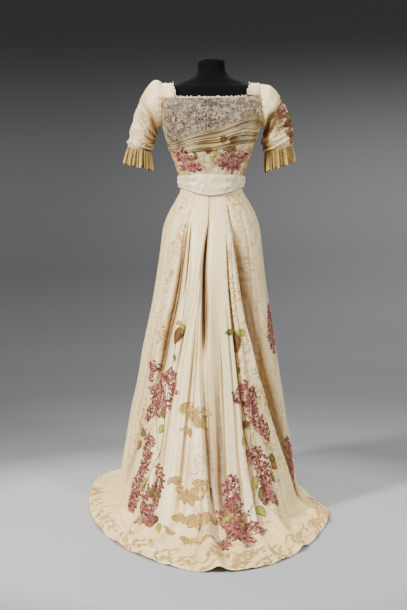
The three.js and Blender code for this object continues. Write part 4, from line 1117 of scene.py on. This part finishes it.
def make_sleeve(name, table, side, node, seed):
    rings = [armhole_ring(side, SLEEVE_COLUMNS)]
    rings += [arm_ring(row, side, SLEEVE_COLUMNS) for row in table]
    points = rows_between(rings, SLEEVE_ROWS)
    inside = points[:, :-1].mean(axis=1, keepdims=True) * np.ones_like(points)
    out = facing(points, inside)
    around, down = crossings(SLEEVE_COLUMNS, SLEEVE_ROWS)
    loop_x, loop_y = np.cos(2 * math.pi * around) * 62, np.sin(2 * math.pi * around) * 62
    head = np.abs(np.sin(math.pi * 21 * around + 1.2 * np.sin(7 * around))) * ease(0.30, 0.04, down)
    cuff = np.abs(np.sin(math.pi * 30 * around + np.sin(9 * around))) * ease(0.80, 0.985, down)
    cross = creases(loop_x * 0.5 + loop_y * 0.35, down * 230 + loop_x * 0.25, seed, 3, 52.0, 1.3)
    cross = cross * ease(0.30, 0.6, down) * ease(1.0, 0.9, down)
    inner = bell(between_turns(around * 360, 25) / 360, 0.16) * ease(0.15, 0.4, down)
    inner_folds = creases(loop_x * 0.3 + loop_y * 0.3, down * 230, seed + 1, 3, 30.0, 1.2)
    small = creases(loop_x * 0.6 + loop_y * 0.5, down * 240, seed + 2, 5, 17.0, 1.35)
    small = small * ease(0.25, 0.6, down) * ease(1.0, 0.9, down)
    lift = 2.8 * (head - 0.3) + 2.6 * (cuff - 0.5) + 5.2 * (cross - 0.3) + 2.8 * (small - 0.3)
    lift = lift + 4.4 * (inner_folds - 0.4) * inner
    lift = lift * ease(0, 0.03, down) * ease(1.0, 0.985, down)
    below = down - (0.24 + 0.5 * around + 0.02 * np.sin(26 * around))
    recess = ease(0, 0.025, below) * ease(0.42, 0.12, below) * ease(0.40, 0.34, around)
    recess = recess * ease(-0.01, 0.05, around) * (1 if side < 0 else 0.35)
    lip = bell(below + 0.05, 0.05) * ease(0.44, 0.36, around) * ease(0, 0.06, around)
    lift = lift - 8.0 * recess + (4.0 if side < 0 else 1.5) * lip
    points = points + out * lift[..., None]
    points[:, -1] = points[:, 0]
    # Painted shade: between the small and cross folds on the lower arm, in the recess under the lip,
    # and over the inner side, most between its folds.
    shade = 0.5 * (1 - small) * (1 - cross) * ease(0.2, 0.5, down) + 0.85 * recess
    shade = shade + 0.55 * inner * (1 - inner_folds)
    # The woven pattern is faint at the head: partly the pattern, partly painted light that keeps the
    # head pale as a lit top.
    piece = lay_cloth(name, points, inside, ring=True, damask=0.12 + 0.2 * ease(0.3, 0.6, down),
                      valley=np.clip(shade + 0.4 * inner, 0, 1), crease=0.25 * shade * inner)
    dress(piece, bodice_satin, "satin", node)
    return piece


for name, table, side, node, seed in (
    ("sleeve_puff_left", LEFT_SLEEVE, 1, "sleeve_left", 61),
    ("sleeve_puff_right", RIGHT_SLEEVE, -1, "sleeve_right", 65),
):
    print(make_sleeve(name, table, side, node, seed).name, "made")

# %% [markdown]
# Each cuff ends in a gathered ruffle of chiffon, which light partly passes through. The gathers
# are tight at the cuff and open out towards an uneven edge.
# %% Ruffles
chiffon = Finish("chiffon", Roughness=0.7, Sheen_Weight=0.2, Specular_IOR_Level=0.25,
                 Subsurface_Weight=0.25, Subsurface_Scale=0.006)
flat = chiffon.flat()
# Painted shade: darker stripes for the depths of the fine gathers; painted light: paler on the
# gathers' ridges.
depth = chiffon.mask(chiffon.noise(chiffon.scaled(flat, (160, 12, 160)), 1.0, 3.0), 0.35, 0.7)
colour = chiffon.mix(depth, (0.26, 0.16, 0.036), (0.09, 0.048, 0.008))
chiffon.set("Base Color", chiffon.mix(chiffon.mark("ridge"), colour, (0.62, 0.45, 0.155)))
crepe = chiffon.noise(flat, 900.0, 2.0)
chiffon.set("Normal", chiffon.bump(crepe, 0.0002, 0.5))

LEFT_RUFFLE = [
    (286, 1179, 206, 1161, 45, -14, 2.5), (292, 1156, 205, 1134, 49, -14, 4.5),
    (297, 1132, 204, 1109, 53, -14, 6),
]
RIGHT_RUFFLE = [
    (277, 1182, 182, 1158, 47, -14, 2.5), (280, 1160, 183, 1130, 50, -14, 4.5),
    (282, 1137, 184, 1102, 54, -14, 6),
]
RUFFLE_COLUMNS, RUFFLE_ROWS = 289, 22


def make_ruffle(name, table, cuff, side, node, seed):
    draw = np.random.default_rng(seed)
    seam = (cuff[0], cuff[1] - 0.5, cuff[2], cuff[3] - 0.5, cuff[4], cuff[5], 0)
    turn = np.linspace(0, 2 * math.pi, RUFFLE_COLUMNS)
    wave = 0.6 * np.cos(9 * turn)
    for waves, size in ((14, 0.6), (23, 0.6), (34, 0.45), (47, 0.3)):
        wave = wave + size * np.sin(waves * turn + draw.uniform(0, 6.3))
    wave[-1] = wave[0]
    rings = [arm_ring(row, side, RUFFLE_COLUMNS, row[6] * 0.75 * wave) for row in [seam, *table]]
    points = rows_between(rings, RUFFLE_ROWS)
    down = np.linspace(0, 1, len(points))[:, None]
    ragged = 3.0 * np.sin(11 * turn + 1) + 2.2 * np.sin(27 * turn) + 1.6 * np.sin(61 * turn)
    ragged[-1] = ragged[0]
    points[..., 2] += ragged[None, :] * down**3
    inside = points[:, :-1].mean(axis=1, keepdims=True) * np.ones_like(points)
    # Painted light on the ridges of the gathers, stronger towards the edge and weaker on the right
    # ruffle.
    ridge = ease(-0.6, 1.6, wave)[None, :] * (0.4 + 0.6 * down) * (1.0 if side > 0 else 0.72)
    piece = lay_cloth(name, points, inside, 0.8, ring=True, ridge=ridge)
    dress(piece, chiffon.material, "chiffon", node)
    return piece


for name, table, cuff, side, node, seed in (
    ("ruffle_chiffon_left", LEFT_RUFFLE, LEFT_SLEEVE[-1], 1, "ruffle_left", 71),
    ("ruffle_chiffon_right", RIGHT_RUFFLE, RIGHT_SLEEVE[-1], -1, "ruffle_right", 72),
):
    print(make_ruffle(name, table, cuff, side, node, seed).name, "made")

# %% [markdown]
# Lilac sprays are embroidered down the train, on the bodice and on the right sleeve: dense heads of
# small four-petalled flowers, dark buds, olive and brown leaves, and thin stems. Each flower is a
# small shape of its own, laid on the cloth. One shape is made by an operator and set down many
# times; printing them in a texture would lose the raised silk.
# %% Shapes of the sprays
def shape_mesh(made):
    mesh = bpy.data.meshes.new("shape")
    made.to_mesh(mesh)
    made.free()
    return mesh, np.array([v.co for v in mesh.vertices])


def circle_shape(segments, reach, rise):
    """A disc whose rim is drawn out into petals: its mesh, corners and nearness to the rim."""
    made = bmesh.new()
    bmesh.ops.create_circle(made, cap_ends=True, cap_tris=True, radius=1, segments=segments)
    mesh, flat = shape_mesh(made)
    turn = np.arctan2(flat[:, 1], flat[:, 0])
    far = np.linalg.norm(flat[:, :2], axis=1)
    flat[:, :2] *= reach(turn)[:, None]
    flat[:, 2] = rise * far * np.linalg.norm(flat[:, :2], axis=1)
    return mesh, flat, far * np.linalg.norm(flat[:, :2], axis=1)


def strip_shape(across, along, half_width):
    """A strip from (0, 0) to (0, 1), half as wide as half_width says at each place along."""
    made = bmesh.new()
    bmesh.ops.create_grid(made, x_segments=across, y_segments=along, size=1)
    mesh, flat = shape_mesh(made)
    side, place = flat[:, 0].copy(), (flat[:, 1] + 1) / 2
    flat[:, 0], flat[:, 1] = side * half_width(place), place
    return mesh, flat, np.abs(side)


FLORET = circle_shape(8, lambda turn: 0.58 + 0.42 * np.abs(np.cos(2 * turn)), 0.22)
BUD = circle_shape(6, lambda turn: 1.0 + 0 * turn, 0.0)
PETAL = strip_shape(4, 6, lambda place: 0.5 * np.sin(math.pi * place**0.75) ** 0.7 + 0.02)
LEAF = strip_shape(4, 8, lambda place: 0.5 * np.sin(math.pi * place**0.8) + 0.02)
STEM = strip_shape(1, 28, lambda place: 0.5 + 0 * place)
print("floret:", len(FLORET[0].polygons), "faces, leaf:", len(LEAF[0].polygons))

# %% [markdown]
# The sprays follow whatever they lie on. A ground gives a point for any place on it: angle and row
# on the skirt, share across and height on the bodice, share round and down on the sleeve.
# %% Grounds to embroider on
def skirt_ground(a, b):
    return skirt_surface(a, np.clip(b, 0, HEM_ROW))[0]


def bodice_ground(a, b):
    z = -b
    lower, upper = drape_edge(a, 1), drape_edge(a, 2)
    up = np.clip((z - lower) / (upper - lower), 0, 1)
    over_drape = LAYER_GAP + CLOTH + drape_relief(a, up)[0]
    lift = np.where(z < lower - 1, back_relief(a, z), over_drape)
    return back_point(a, z, np.where(z > upper, LACE_LIFT + 2.0, lift))


def sleeve_ground(a, b):
    points = cloths["sleeve_puff_right"]["points"] / MM
    rows, columns = points.shape[:2]
    r, c = np.clip(b, 0, 0.999) * (rows - 1), a % 1 * (columns - 1)
    i, j = r.astype(int), c.astype(int)
    t, u = (r - i)[..., None], (c - j)[..., None]
    low = points[i, j] * (1 - u) + points[i, j + 1] * u
    high = points[i + 1, j] * (1 - u) + points[i + 1, j + 1] * u
    return low * (1 - t) + high * t


GROUNDS = {  # ground, its shape without folds, small steps for its directions
    "skirt": (skirt_ground, plain_skirt, 0.25, 0.03),
    "bodice": (bodice_ground, lambda a, b: back_point(a, -b), 0.004, 1.0),
    "sleeve": (sleeve_ground, sleeve_ground, 0.012, 0.012),
}
SILK_THICKNESS = 0.35


class Embroidery:
    """Motifs gathered for one object: copies of shapes, laid on a ground all together."""

    def __init__(self, ground):
        self.place, self.plain, self.step_a, self.step_b = GROUNDS[ground]
        self.gathered = bmesh.new()
        self.parts = []

    def spans(self, a, b):
        """Millimetres across for one step of a, and down for one step of b."""
        a, b = np.asarray(a, float), np.asarray(b, float)
        ea, eb = self.step_a, self.step_b
        across = self.plain(a + ea, b) - self.plain(a - ea, b)
        down = self.plain(a, b + eb) - self.plain(a, b - eb)
        return (np.linalg.norm(across, axis=-1) / (2 * ea),
                np.linalg.norm(down, axis=-1) / (2 * eb))

    def add(self, shape, a, b, size, turn, lift, middle, rim):
        """One motif in two colours; turn 0 points its length down the cloth."""
        mesh, flat, tint = shape
        self.gathered.from_mesh(mesh)
        x, y = flat[:, 0] * size[0], flat[:, 1] * size[1]
        c, s = math.cos(turn), math.sin(turn)
        span_a, span_b = self.spans(np.array([a]), np.array([b]))
        place_a = a + (x * c + y * s) / span_a
        place_b = b + (y * c - x * s) / span_b
        self.keep(place_a, place_b, lift + flat[:, 2] * size[0], tint, middle, rim)

    def keep(self, a, b, height, tint, middle, rim):
        tint = np.clip(tint, 0, 1)[:, None]
        colour = np.array(middle) * (1 - tint) + np.array(rim) * tint
        self.parts.append((a, b, height, colour))

    def stem(self, path, width, colour):
        """A thin stem along a path of (a, b) places."""
        mesh, flat, _ = STEM
        self.gathered.from_mesh(mesh)
        path = np.array(path, float)
        t = flat[:, 1] * (len(path) - 1)
        a = through(range(len(path)), path[:, 0], t)
        b = np.interp(t, range(len(path)), path[:, 1])
        span_a, _ = self.spans(a, b)
        a = a + flat[:, 0] * width / span_a
        self.keep(a, b, 0.5 + 0 * a, 0 * a, colour, colour)

    def finish(self, name, slot):
        a, b, height = [np.concatenate([p[k] for p in self.parts]) for k in range(3)]
        colour = np.concatenate([p[3] for p in self.parts])
        ea, eb = self.step_a, self.step_b
        across = self.place(a + ea, b) - self.place(a - ea, b)
        down = self.place(a, b + eb) - self.place(a, b - eb)
        out = unit(np.cross(down, across))
        spots = (self.place(a, b) + out * height[:, None]) * MM
        mesh = bpy.data.meshes.new(name)
        self.gathered.to_mesh(mesh)
        self.gathered.free()
        mesh.vertices.foreach_set("co", spots.reshape(-1))
        made = mesh.attributes.new("silk", "FLOAT_COLOR", "POINT")
        made.data.foreach_set("color", np.hstack([colour, np.ones((len(a), 1))]).reshape(-1))
        mesh.update()
        normal = np.array([p.normal for p in mesh.polygons])
        first = np.array([p.vertices[0] for p in mesh.polygons])
        if np.sum(normal * out[first]) < 0:
            mesh.flip_normals()
        piece = new_piece(name, mesh)
        wall = piece.modifiers.new("wall", "SOLIDIFY")
        wall.thickness, wall.offset = SILK_THICKNESS * MM, 1
        dress(piece, silks.material, slot)
        print(name, len(self.parts), "motifs,", len(mesh.polygons), "faces")


silks = Finish("embroidery silk", Roughness=0.62, Sheen_Weight=0.04, Specular_IOR_Level=0.2)
colour = silks.node("Attribute", attribute_name="silk").outputs["Color"]
strands = silks.noise(silks.place(), 420.0, 2.0)
silks.set("Base Color", silks.mix(silks.mask(strands, 0.35, 0.7), colour, (0.55, 0.5, 0.45),
                                  "MULTIPLY"))
silks.set("Normal", silks.bump(strands, 0.0004, 0.6))

# %% [markdown]
# A lilac head is broad near its stem and tapers to a point. Its flowers sit close, some dark, most
# dusty rose, a few pale. Where every flower goes is drawn from a seeded generator, so the dress
# comes out the same each time.
# %% Lilac heads
DARK_ROSE, ROSE, PALE_ROSE = (0.13, 0.020, 0.020), (0.46, 0.135, 0.112), (0.80, 0.44, 0.34)
BUD_BROWN, STEM_GREEN = (0.06, 0.015, 0.02), (0.07, 0.07, 0.025)
LEAF_COLOURS = {"olive": (0.10, 0.10, 0.012), "brown": (0.095, 0.032, 0.004),
                "spring": (0.26, 0.24, 0.03), "tan": (0.21, 0.095, 0.014)}
FLORET_SPACING, LEAF_LIFT, STEM_WIDTH = 7.0, 2.4, 1.8


def lilac_head(work, start, end, width, draw, pale=0.5):
    """Flowers in a tapering head from start (a, b) to end."""
    a0, b0 = start
    span_a, span_b = [float(v) for v in work.spans((a0 + end[0]) / 2, (b0 + end[1]) / 2)]
    run = np.array([(end[0] - a0) * span_a, (end[1] - b0) * span_b])
    length = float(np.linalg.norm(run))
    along, side = run / length, np.array([run[1], -run[0]]) / length
    rows = max(2, int(length / (FLORET_SPACING * 0.85)))
    for row in range(rows + 1):
        t = row / rows
        half = width * 0.8 * (t + 0.10) ** 0.5 * (1 - t + 0.03) ** 0.6
        half *= draw.uniform(0.8, 1.15)
        count = max(1, round(2 * half / FLORET_SPACING))
        for k in range(count):
            place = (k + 0.5) / count * 2 - 1 + draw.normal(0, 0.12)
            wander = 0.22 * width * math.sin(5 * t + 2 * length)
            spot = along * (t * length + draw.normal(0, 2.6)) + side * (place * half + wander)
            if draw.random() < 0.03 + 0.20 * abs(place) ** 2:
                continue
            a, b = a0 + spot[0] / span_a, b0 + spot[1] / span_b
            size = draw.uniform(4.0, 6.4)
            shade = draw.random()
            rim = PALE_ROSE if shade < pale * 0.5 else DARK_ROSE if shade > 0.9 else ROSE
            heart = DARK_ROSE if shade < 0.75 else BUD_BROWN
            tone = draw.uniform(0.8, 1.2)
            rim = [min(1, value * tone) for value in rim]
            work.add(FLORET, a, b, (size, size), draw.uniform(0, 6.3), draw.uniform(0.5, 2.2),
                     heart, rim)
            if draw.random() < 0.16:
                work.add(BUD, a, b, (1.7, 1.7), 0, 3.4, BUD_BROWN, BUD_BROWN)


def leaves(work, table):
    for a, b, turn, length, width, colour in table:
        rim = LEAF_COLOURS[colour]
        middle = [min(1, 1.7 * value + 0.02) for value in rim]
        work.add(LEAF, a, b, (width, length), turn * DEGREE, LEAF_LIFT, middle, rim)


TRAIN_LEFT_HEADS = [  # from angle and row, to angle and row, width
    ((32.5, 7.95), (37.0, 8.4), 34), ((37.5, 7.9), (38.5, 8.45), 36),
    ((46.0, 8.2), (44.5, 9.0), 76), ((59.0, 8.05), (57.0, 8.75), 60),
    ((52.0, 8.6), (42.0, 9.55), 86), ((49.5, 9.95), (38.6, 10.95), 72),
    ((56.5, 10.6), (52.5, 11.6), 66), ((45.0, 11.1), (34.5, 12.5), 86),
    ((39.5, 11.8), (36.0, 12.8), 56), ((54.5, 11.3), (51.0, 13.2), 96),
    ((51.0, 12.2), (49.0, 14.2), 72),
]
TRAIN_LEFT_LEAVES = [  # angle, row, turn, length, width, colour
    (38.5, 10.1, -52, 58, 26, "tan"), (41.5, 9.9, -100, 66, 26, "olive"),
    (54.0, 9.15, 10, 26, 14, "olive"), (54.5, 9.5, -15, 34, 16, "spring"),
    (59.5, 12.45, -60, 52, 30, "brown"), (60.0, 12.9, 12, 62, 24, "spring"),
    (50.5, 11.3, 50, 56, 26, "olive"), (48.5, 11.0, -40, 50, 20, "spring"),
    (62.8, 6.75, 10, 42, 24, "spring"), (61.6, 6.85, -14, 62, 27, "brown"),
    (61.8, 6.7, -60, 24, 12, "spring"), (58.0, 7.6, 8, 26, 9, "olive"),
]
TRAIN_LEFT_STEMS = [
    [(53.0, 8.2), (55.0, 9.0), (55.4, 9.9), (49.0, 10.9), (46.0, 11.6)],
    [(49.0, 10.9), (51.5, 11.6), (52.5, 12.3)], [(44.0, 8.4), (48.0, 9.2), (53.0, 10.2)],
    [(64.4, 5.8), (63.6, 6.3), (62.6, 6.9)], [(58.8, 7.3), (56.5, 8.3), (55.2, 9.4)],
]
TRAIN_RIGHT_HEADS = [
    ((114.6, 8.3), (111.5, 8.9), 56), ((121.0, 8.55), (130.8, 10.05), 70),
    ((120.0, 10.05), (128.5, 11.8), 84), ((125.0, 10.9), (131.5, 12.1), 54),
    ((107.5, 10.8), (97.5, 11.9), 74), ((102.5, 11.3), (97.8, 12.5), 68),
    ((110.5, 11.9), (102.0, 13.6), 78), ((113.5, 12.4), (117.5, 13.7), 66),
    ((108.5, 12.3), (105.5, 14.4), 84), ((100.5, 12.4), (99.0, 14.4), 66),
    ((163.5, 10.3), (171.5, 12.5), 96), ((157.0, 10.8), (160.5, 12.3), 50),
    ((161.5, 6.4), (160.5, 7.8), 62), ((170.0, 6.4), (168.5, 7.8), 60),
]
TRAIN_RIGHT_LEAVES = [
    (117.4, 9.35, -30, 30, 20, "brown"), (114.6, 9.7, -20, 40, 20, "spring"),
    (132.0, 10.4, 60, 50, 26, "olive"), (133.5, 10.6, 62, 52, 26, "tan"),
    (131.0, 10.9, 40, 40, 16, "olive"), (120.0, 10.8, -10, 52, 22, "spring"),
    (121.5, 11.2, 10, 46, 18, "olive"), (104.5, 11.65, -60, 50, 26, "tan"),
    (101.5, 11.9, -40, 52, 24, "spring"), (110.5, 12.0, -20, 56, 26, "spring"),
    (107.0, 12.1, -60, 54, 26, "tan"), (119.5, 11.75, 25, 60, 26, "spring"),
    (153.5, 10.35, 10, 40, 22, "olive"), (165.2, 7.2, 20, 36, 12, "spring"),
    (113.4, 6.95, 60, 34, 26, "spring"), (111.0, 6.95, -80, 36, 20, "olive"),
    (112.4, 7.0, 4, 66, 25, "brown"), (113.6, 7.9, 10, 24, 9, "olive"),
]
TRAIN_RIGHT_STEMS = [
    [(119.4, 8.8), (118.8, 9.8), (121.2, 11.0), (115.0, 11.7), (108.5, 12.4)],
    [(115.0, 11.7), (112.5, 12.6), (113.0, 13.3)], [(112.0, 8.8), (115.0, 9.6), (118.8, 10.3)],
    [(109.1, 5.8), (110.5, 6.4), (112.2, 7.0)], [(112.6, 7.6), (114.5, 8.6), (117.5, 9.6)],
    [(160.0, 9.6), (161.0, 10.6), (161.0, 11.6)], [(163.0, 6.0), (165.5, 7.2), (167.0, 8.0)],
]
draw = np.random.default_rng(81)
for name, heads, leaf_table, stems in (
    ("lilac_train_left", TRAIN_LEFT_HEADS, TRAIN_LEFT_LEAVES, TRAIN_LEFT_STEMS),
    ("lilac_train_right", TRAIN_RIGHT_HEADS, TRAIN_RIGHT_LEAVES, TRAIN_RIGHT_STEMS),
):
    work = Embroidery("skirt")
    for path in stems:
        work.stem(path, STEM_WIDTH, STEM_GREEN)
    for start, end, width in heads:
        lilac_head(work, start, end, width, draw)
    leaves(work, leaf_table)
    work.finish(name, "skirt_satin")

# %% [markdown]
# The bodice's sprays are placed by the share across the back and the height, which counts down,
# the sleeve's by the share round and the share down. Small worked flowers lie on the lace.
# %% Lilac on the bodice and sleeve
LACE_FLOWER = (0.4, 0.24, 0.1), (0.62, 0.42, 0.22)
BODICE_HEADS = [
    ((0.28, -1178), (0.20, -1146), 58), ((0.20, -1160), (0.25, -1126), 50),
    ((0.33, -1150), (0.42, -1108), 56), ((0.28, -1142), (0.31, -1099), 56),
    ((0.22, -1124), (0.25, -1100), 36), ((0.58, -1180), (0.68, -1152), 52),
    ((0.75, -1172), (0.80, -1138), 52), ((0.58, -1156), (0.61, -1112), 54),
    ((0.67, -1150), (0.69, -1100), 70), ((0.75, -1148), (0.75, -1108), 50),
]
BODICE_LEAVES = [
    (0.575, -1222, -12, 26, 22, "brown"), (0.63, -1222, 10, 28, 24, "brown"),
    (0.655, -1216, 20, 22, 13, "olive"), (0.49, -1184, -25, 26, 18, "brown"),
    (0.515, -1180, 25, 24, 15, "spring"), (0.50, -1160, 0, 22, 14, "spring"),
    (0.60, -1180, 80, 46, 14, "olive"), (0.36, -1176, 30, 30, 10, "olive"),
]
work = Embroidery("bodice")
work.stem([(0.37, -1182), (0.45, -1176), (0.50, -1170)], 1.6, STEM_GREEN)
for start, end, width in BODICE_HEADS:
    lilac_head(work, start, end, width, draw, pale=0.7)
leaves(work, BODICE_LEAVES)
for _ in range(13):
    spot = (draw.uniform(0.12, 0.9), -draw.uniform(1262, 1345))
    if -spot[1] > float(drape_edge(np.array(spot[0]), 2)) + 8:
        work.add(FLORET, *spot, (8, 8), draw.uniform(0, 6), 1.2, *LACE_FLOWER)
work.finish("lilac_bodice", "satin")

SLEEVE_HEADS = [  # share round and share down
    ((0.40, 0.42), (0.41, 0.60), 66), ((0.41, 0.74), (0.41, 0.94), 52),
    ((0.06, 0.66), (0.07, 0.86), 36),
]
SLEEVE_LEAVES = [
    (0.385, 0.58, 60, 50, 26, "olive"), (0.33, 0.66, 75, 52, 24, "brown"),
    (0.40, 0.68, 70, 50, 24, "olive"), (0.42, 0.60, 80, 40, 20, "brown"),
    (0.34, 0.74, 60, 40, 18, "olive"),
]
work = Embroidery("sleeve")
for start, end, width in SLEEVE_HEADS:
    lilac_head(work, start, end, width, draw, pale=0.3)
leaves(work, SLEEVE_LEAVES)
work.finish("lilac_sleeve", "satin")

# %% [markdown]
# The centre of the train and the hem carry larger blossoms and leaves woven in beige. They are
# flat petals of silk on the satin, pale in the middle and darker at the rim.
# %% Woven blossoms
HEM_LEAVES = 170
TAWNY, TAWNY_LIGHT = (0.39, 0.225, 0.055), (0.62, 0.41, 0.135)
BLOSSOMS = [  # angle, row, size, turn, petals
    (71, 8.85, 40, 20, 4), (79, 9.0, 60, 0, 5), (75, 9.5, 36, -30, 3), (84, 9.3, 36, 10, 3),
    (66, 10.8, 34, 30, 4), (76, 11.15, 64, 0, 6), (84, 10.8, 44, -10, 4), (70, 12.0, 44, 10, 4),
    (82, 12.0, 58, 5, 5), (88, 11.9, 38, 0, 3), (67, 13.1, 34, 0, 4), (78, 13.5, 46, 0, 4),
    (89, 13.6, 38, 0, 4), (97, 11.9, 34, 0, 4),
]


def blossom(work, a, b, size, turn, petals, draw):
    for k in range(petals):
        way = turn * DEGREE + (k - (petals - 1) / 2) * 0.62 + draw.normal(0, 0.12)
        length = size * draw.uniform(0.75, 1.1)
        work.add(PETAL, a, b, (0.5 * length, length), way, 0.35 + 0.12 * k, TAWNY_LIGHT, TAWNY)


work = Embroidery("skirt")
for a, b, size, turn, petals in BLOSSOMS:
    blossom(work, a, b, size, turn, petals, draw)
for _ in range(HEM_LEAVES):
    a, b = draw.uniform(-5, 190), draw.uniform(14.7, 15.8)
    shade, size, way = draw.uniform(0.75, 1.1), draw.uniform(14, 26), draw.uniform(-0.7, 0.7)
    for turn in (way, way + 2.2)[: int(draw.integers(1, 3))]:
        work.add(LEAF, a, b, (0.62 * size, 1.7 * size), turn, 0.4,
                 [1.1 * v * shade for v in TAWNY_LIGHT], [v * shade for v in TAWNY_LIGHT])
work.finish("woven_blossoms", "skirt_satin")


HELD = {gore[0]: ("hung", "belt_folds") for gore in GORES} | {
    "bodice_back_panel": ("stretched", "torso"), "bodice_front_panel": ("stretched", "torso"),
    "strap_cloth_left": ("gathered", "torso"), "strap_cloth_right": ("gathered", "torso"),
    "drape_silk_pleats": ("folded", "bodice_back_panel"),
    "lace_lining": ("stretched", "bodice_back_panel"), "belt_folds": ("folded", "torso"),
    "sleeve_puff_left": ("gathered", "bodice_back_panel"),
    "sleeve_puff_right": ("gathered", "bodice_back_panel"),
    "ruffle_chiffon_left": ("gathered", "sleeve_puff_left"),
    "ruffle_chiffon_right": ("gathered", "sleeve_puff_right"),
}
for name, (held, carrier) in HELD.items():
    cloth = cloths[name]
    width = float(2 * cloth["across"][:, -1].max())
    length = float(cloth["down"][-1].max())

# %% [markdown]
# The studio is a pale floor that curves up into a plain wall all round, with a large soft light
# from the left and a weaker one from the right, as for a catalogue. Light and shade are painted on
# the paper as well: lighter near the dress, far out and towards the right, darker up the wall.
# %% Studio
PROFILE = [(0, 0), (4.4, 0), (5.2, 0.05), (6.0, 0.2), (6.8, 0.48), (7.6, 0.95), (8.3, 1.6),
           (8.9, 2.5), (9.3, 3.6), (9.5, 5.0), (9.6, 8.5)]
bowl = bmesh.new()
verts = [bowl.verts.new((radius, 0, height - 0.0005)) for radius, height in PROFILE]
edges = [bowl.edges.new(pair) for pair in zip(verts[:-1], verts[1:])]
bmesh.ops.spin(bowl, geom=verts + edges, cent=(0, 0, 0), axis=(0, 0, 1), angle=2 * math.pi,
               steps=64, use_merge=True)
bmesh.ops.remove_doubles(bowl, verts=bowl.verts[:], dist=1e-5)
bmesh.ops.recalc_face_normals(bowl, faces=bowl.faces[:])
if sum(f.normal.z for f in bowl.faces) < 0:
    bmesh.ops.reverse_faces(bowl, faces=bowl.faces[:])
mesh = bpy.data.meshes.new("studio_floor")
bowl.to_mesh(mesh)
bowl.free()
for face in mesh.polygons:
    face.use_smooth = True
floor = bpy.data.objects.new("studio_floor", mesh)
bpy.context.scene.collection.objects.link(floor)
paper = Finish("studio paper", Roughness=0.9, Specular_IOR_Level=0.2)
parts = paper.node("SeparateXYZ", {0: paper.place()})
from_train = paper.node("VectorMath", {0: paper.place(), 1: (0, 0.4, 0)}, operation="DISTANCE")
ramp = paper.node("ValToRGB", {0: paper.times(from_train.outputs["Value"], 0.1)})
# Painted light and shade on the floor by distance from the dress: light close to it, darkest about two
# metres out, lighter again far out.
FLOOR_PAINTED_LIGHT = [  # distance in tens of metres, tone
    (0.078, 0.375), (0.113, 0.165), (0.16, 0.118), (0.226, 0.095), (0.30, 0.105),
    (0.41, 0.15), (0.55, 0.25), (0.90, 0.35),
]
for place, tone in FLOOR_PAINTED_LIGHT:
    stops = ramp.color_ramp.elements
    stop = stops[0] if place == FLOOR_PAINTED_LIGHT[0][0] else stops.new(place)
    stop.position, stop.color = place, (tone, tone * 1.015, tone * 1.05, 1)
stops.remove(max(stops, key=lambda stop: stop.position))
# Painted light: away from the dress, the paper grows almost twice as light towards -x, the right as
# the camera sees it.
sideways = paper.mask(parts.outputs["X"], 1.6, -2.2)
far = paper.mask(from_train.outputs["Value"], 0.7, 1.6)
side_light = paper.mix(paper.times(sideways, far), (1, 1, 1), (1.95, 1.95, 1.95))
floor_light = paper.mix(1.0, ramp.outputs["Color"], side_light, "MULTIPLY")
# Painted shade: the wall turns dark grey higher up.
paper.set("Base Color", paper.mix(paper.mask(parts.outputs["Z"], 0.55, 2.5), floor_light,
                                  (0.085, 0.086, 0.09)))
mesh.materials.append(paper.material)


def soft_light(name, place, aim, size, power, colour=(1, 1, 1)):
    lamp = bpy.data.lights.new(name, "AREA")
    lamp.shape, lamp.size, lamp.energy, lamp.color = "SQUARE", size, power, colour
    made = bpy.data.objects.new(name, lamp)
    made.location = place
    away = np.array(place, float) - np.array(aim, float)
    made.rotation_euler = (
        math.atan2(math.hypot(away[0], away[1]), away[2]), 0, math.atan2(away[0], -away[1])
    )
    bpy.context.scene.collection.objects.link(made)


for light in (  # name, place, aim, size, watts, colour
    ("key_light", (3.3, 2.4, 3.0), (0, 0.2, 0.8), 0.6, 410, (1.0, 0.98, 0.94)),
    ("fill_light", (-2.6, 3.0, 3.0), (0, 0.1, 1.0), 1.0, 170),
    ("front_light", (0.5, -2.7, 3.5), (0, 0, 0.7), 2.0, 100),
    ("top_light", (0.0, 0.6, 4.2), (0, 0.3, 0.5), 1.6, 90),
):
    soft_light(*light)
world = bpy.data.worlds.new("studio world")
world.use_nodes = True
sky = world.node_tree.nodes["Background"].inputs
sky["Color"].default_value, sky["Strength"].default_value = (0.75, 0.77, 0.8, 1), 0.12
bpy.context.scene.world = world
print("studio ready")
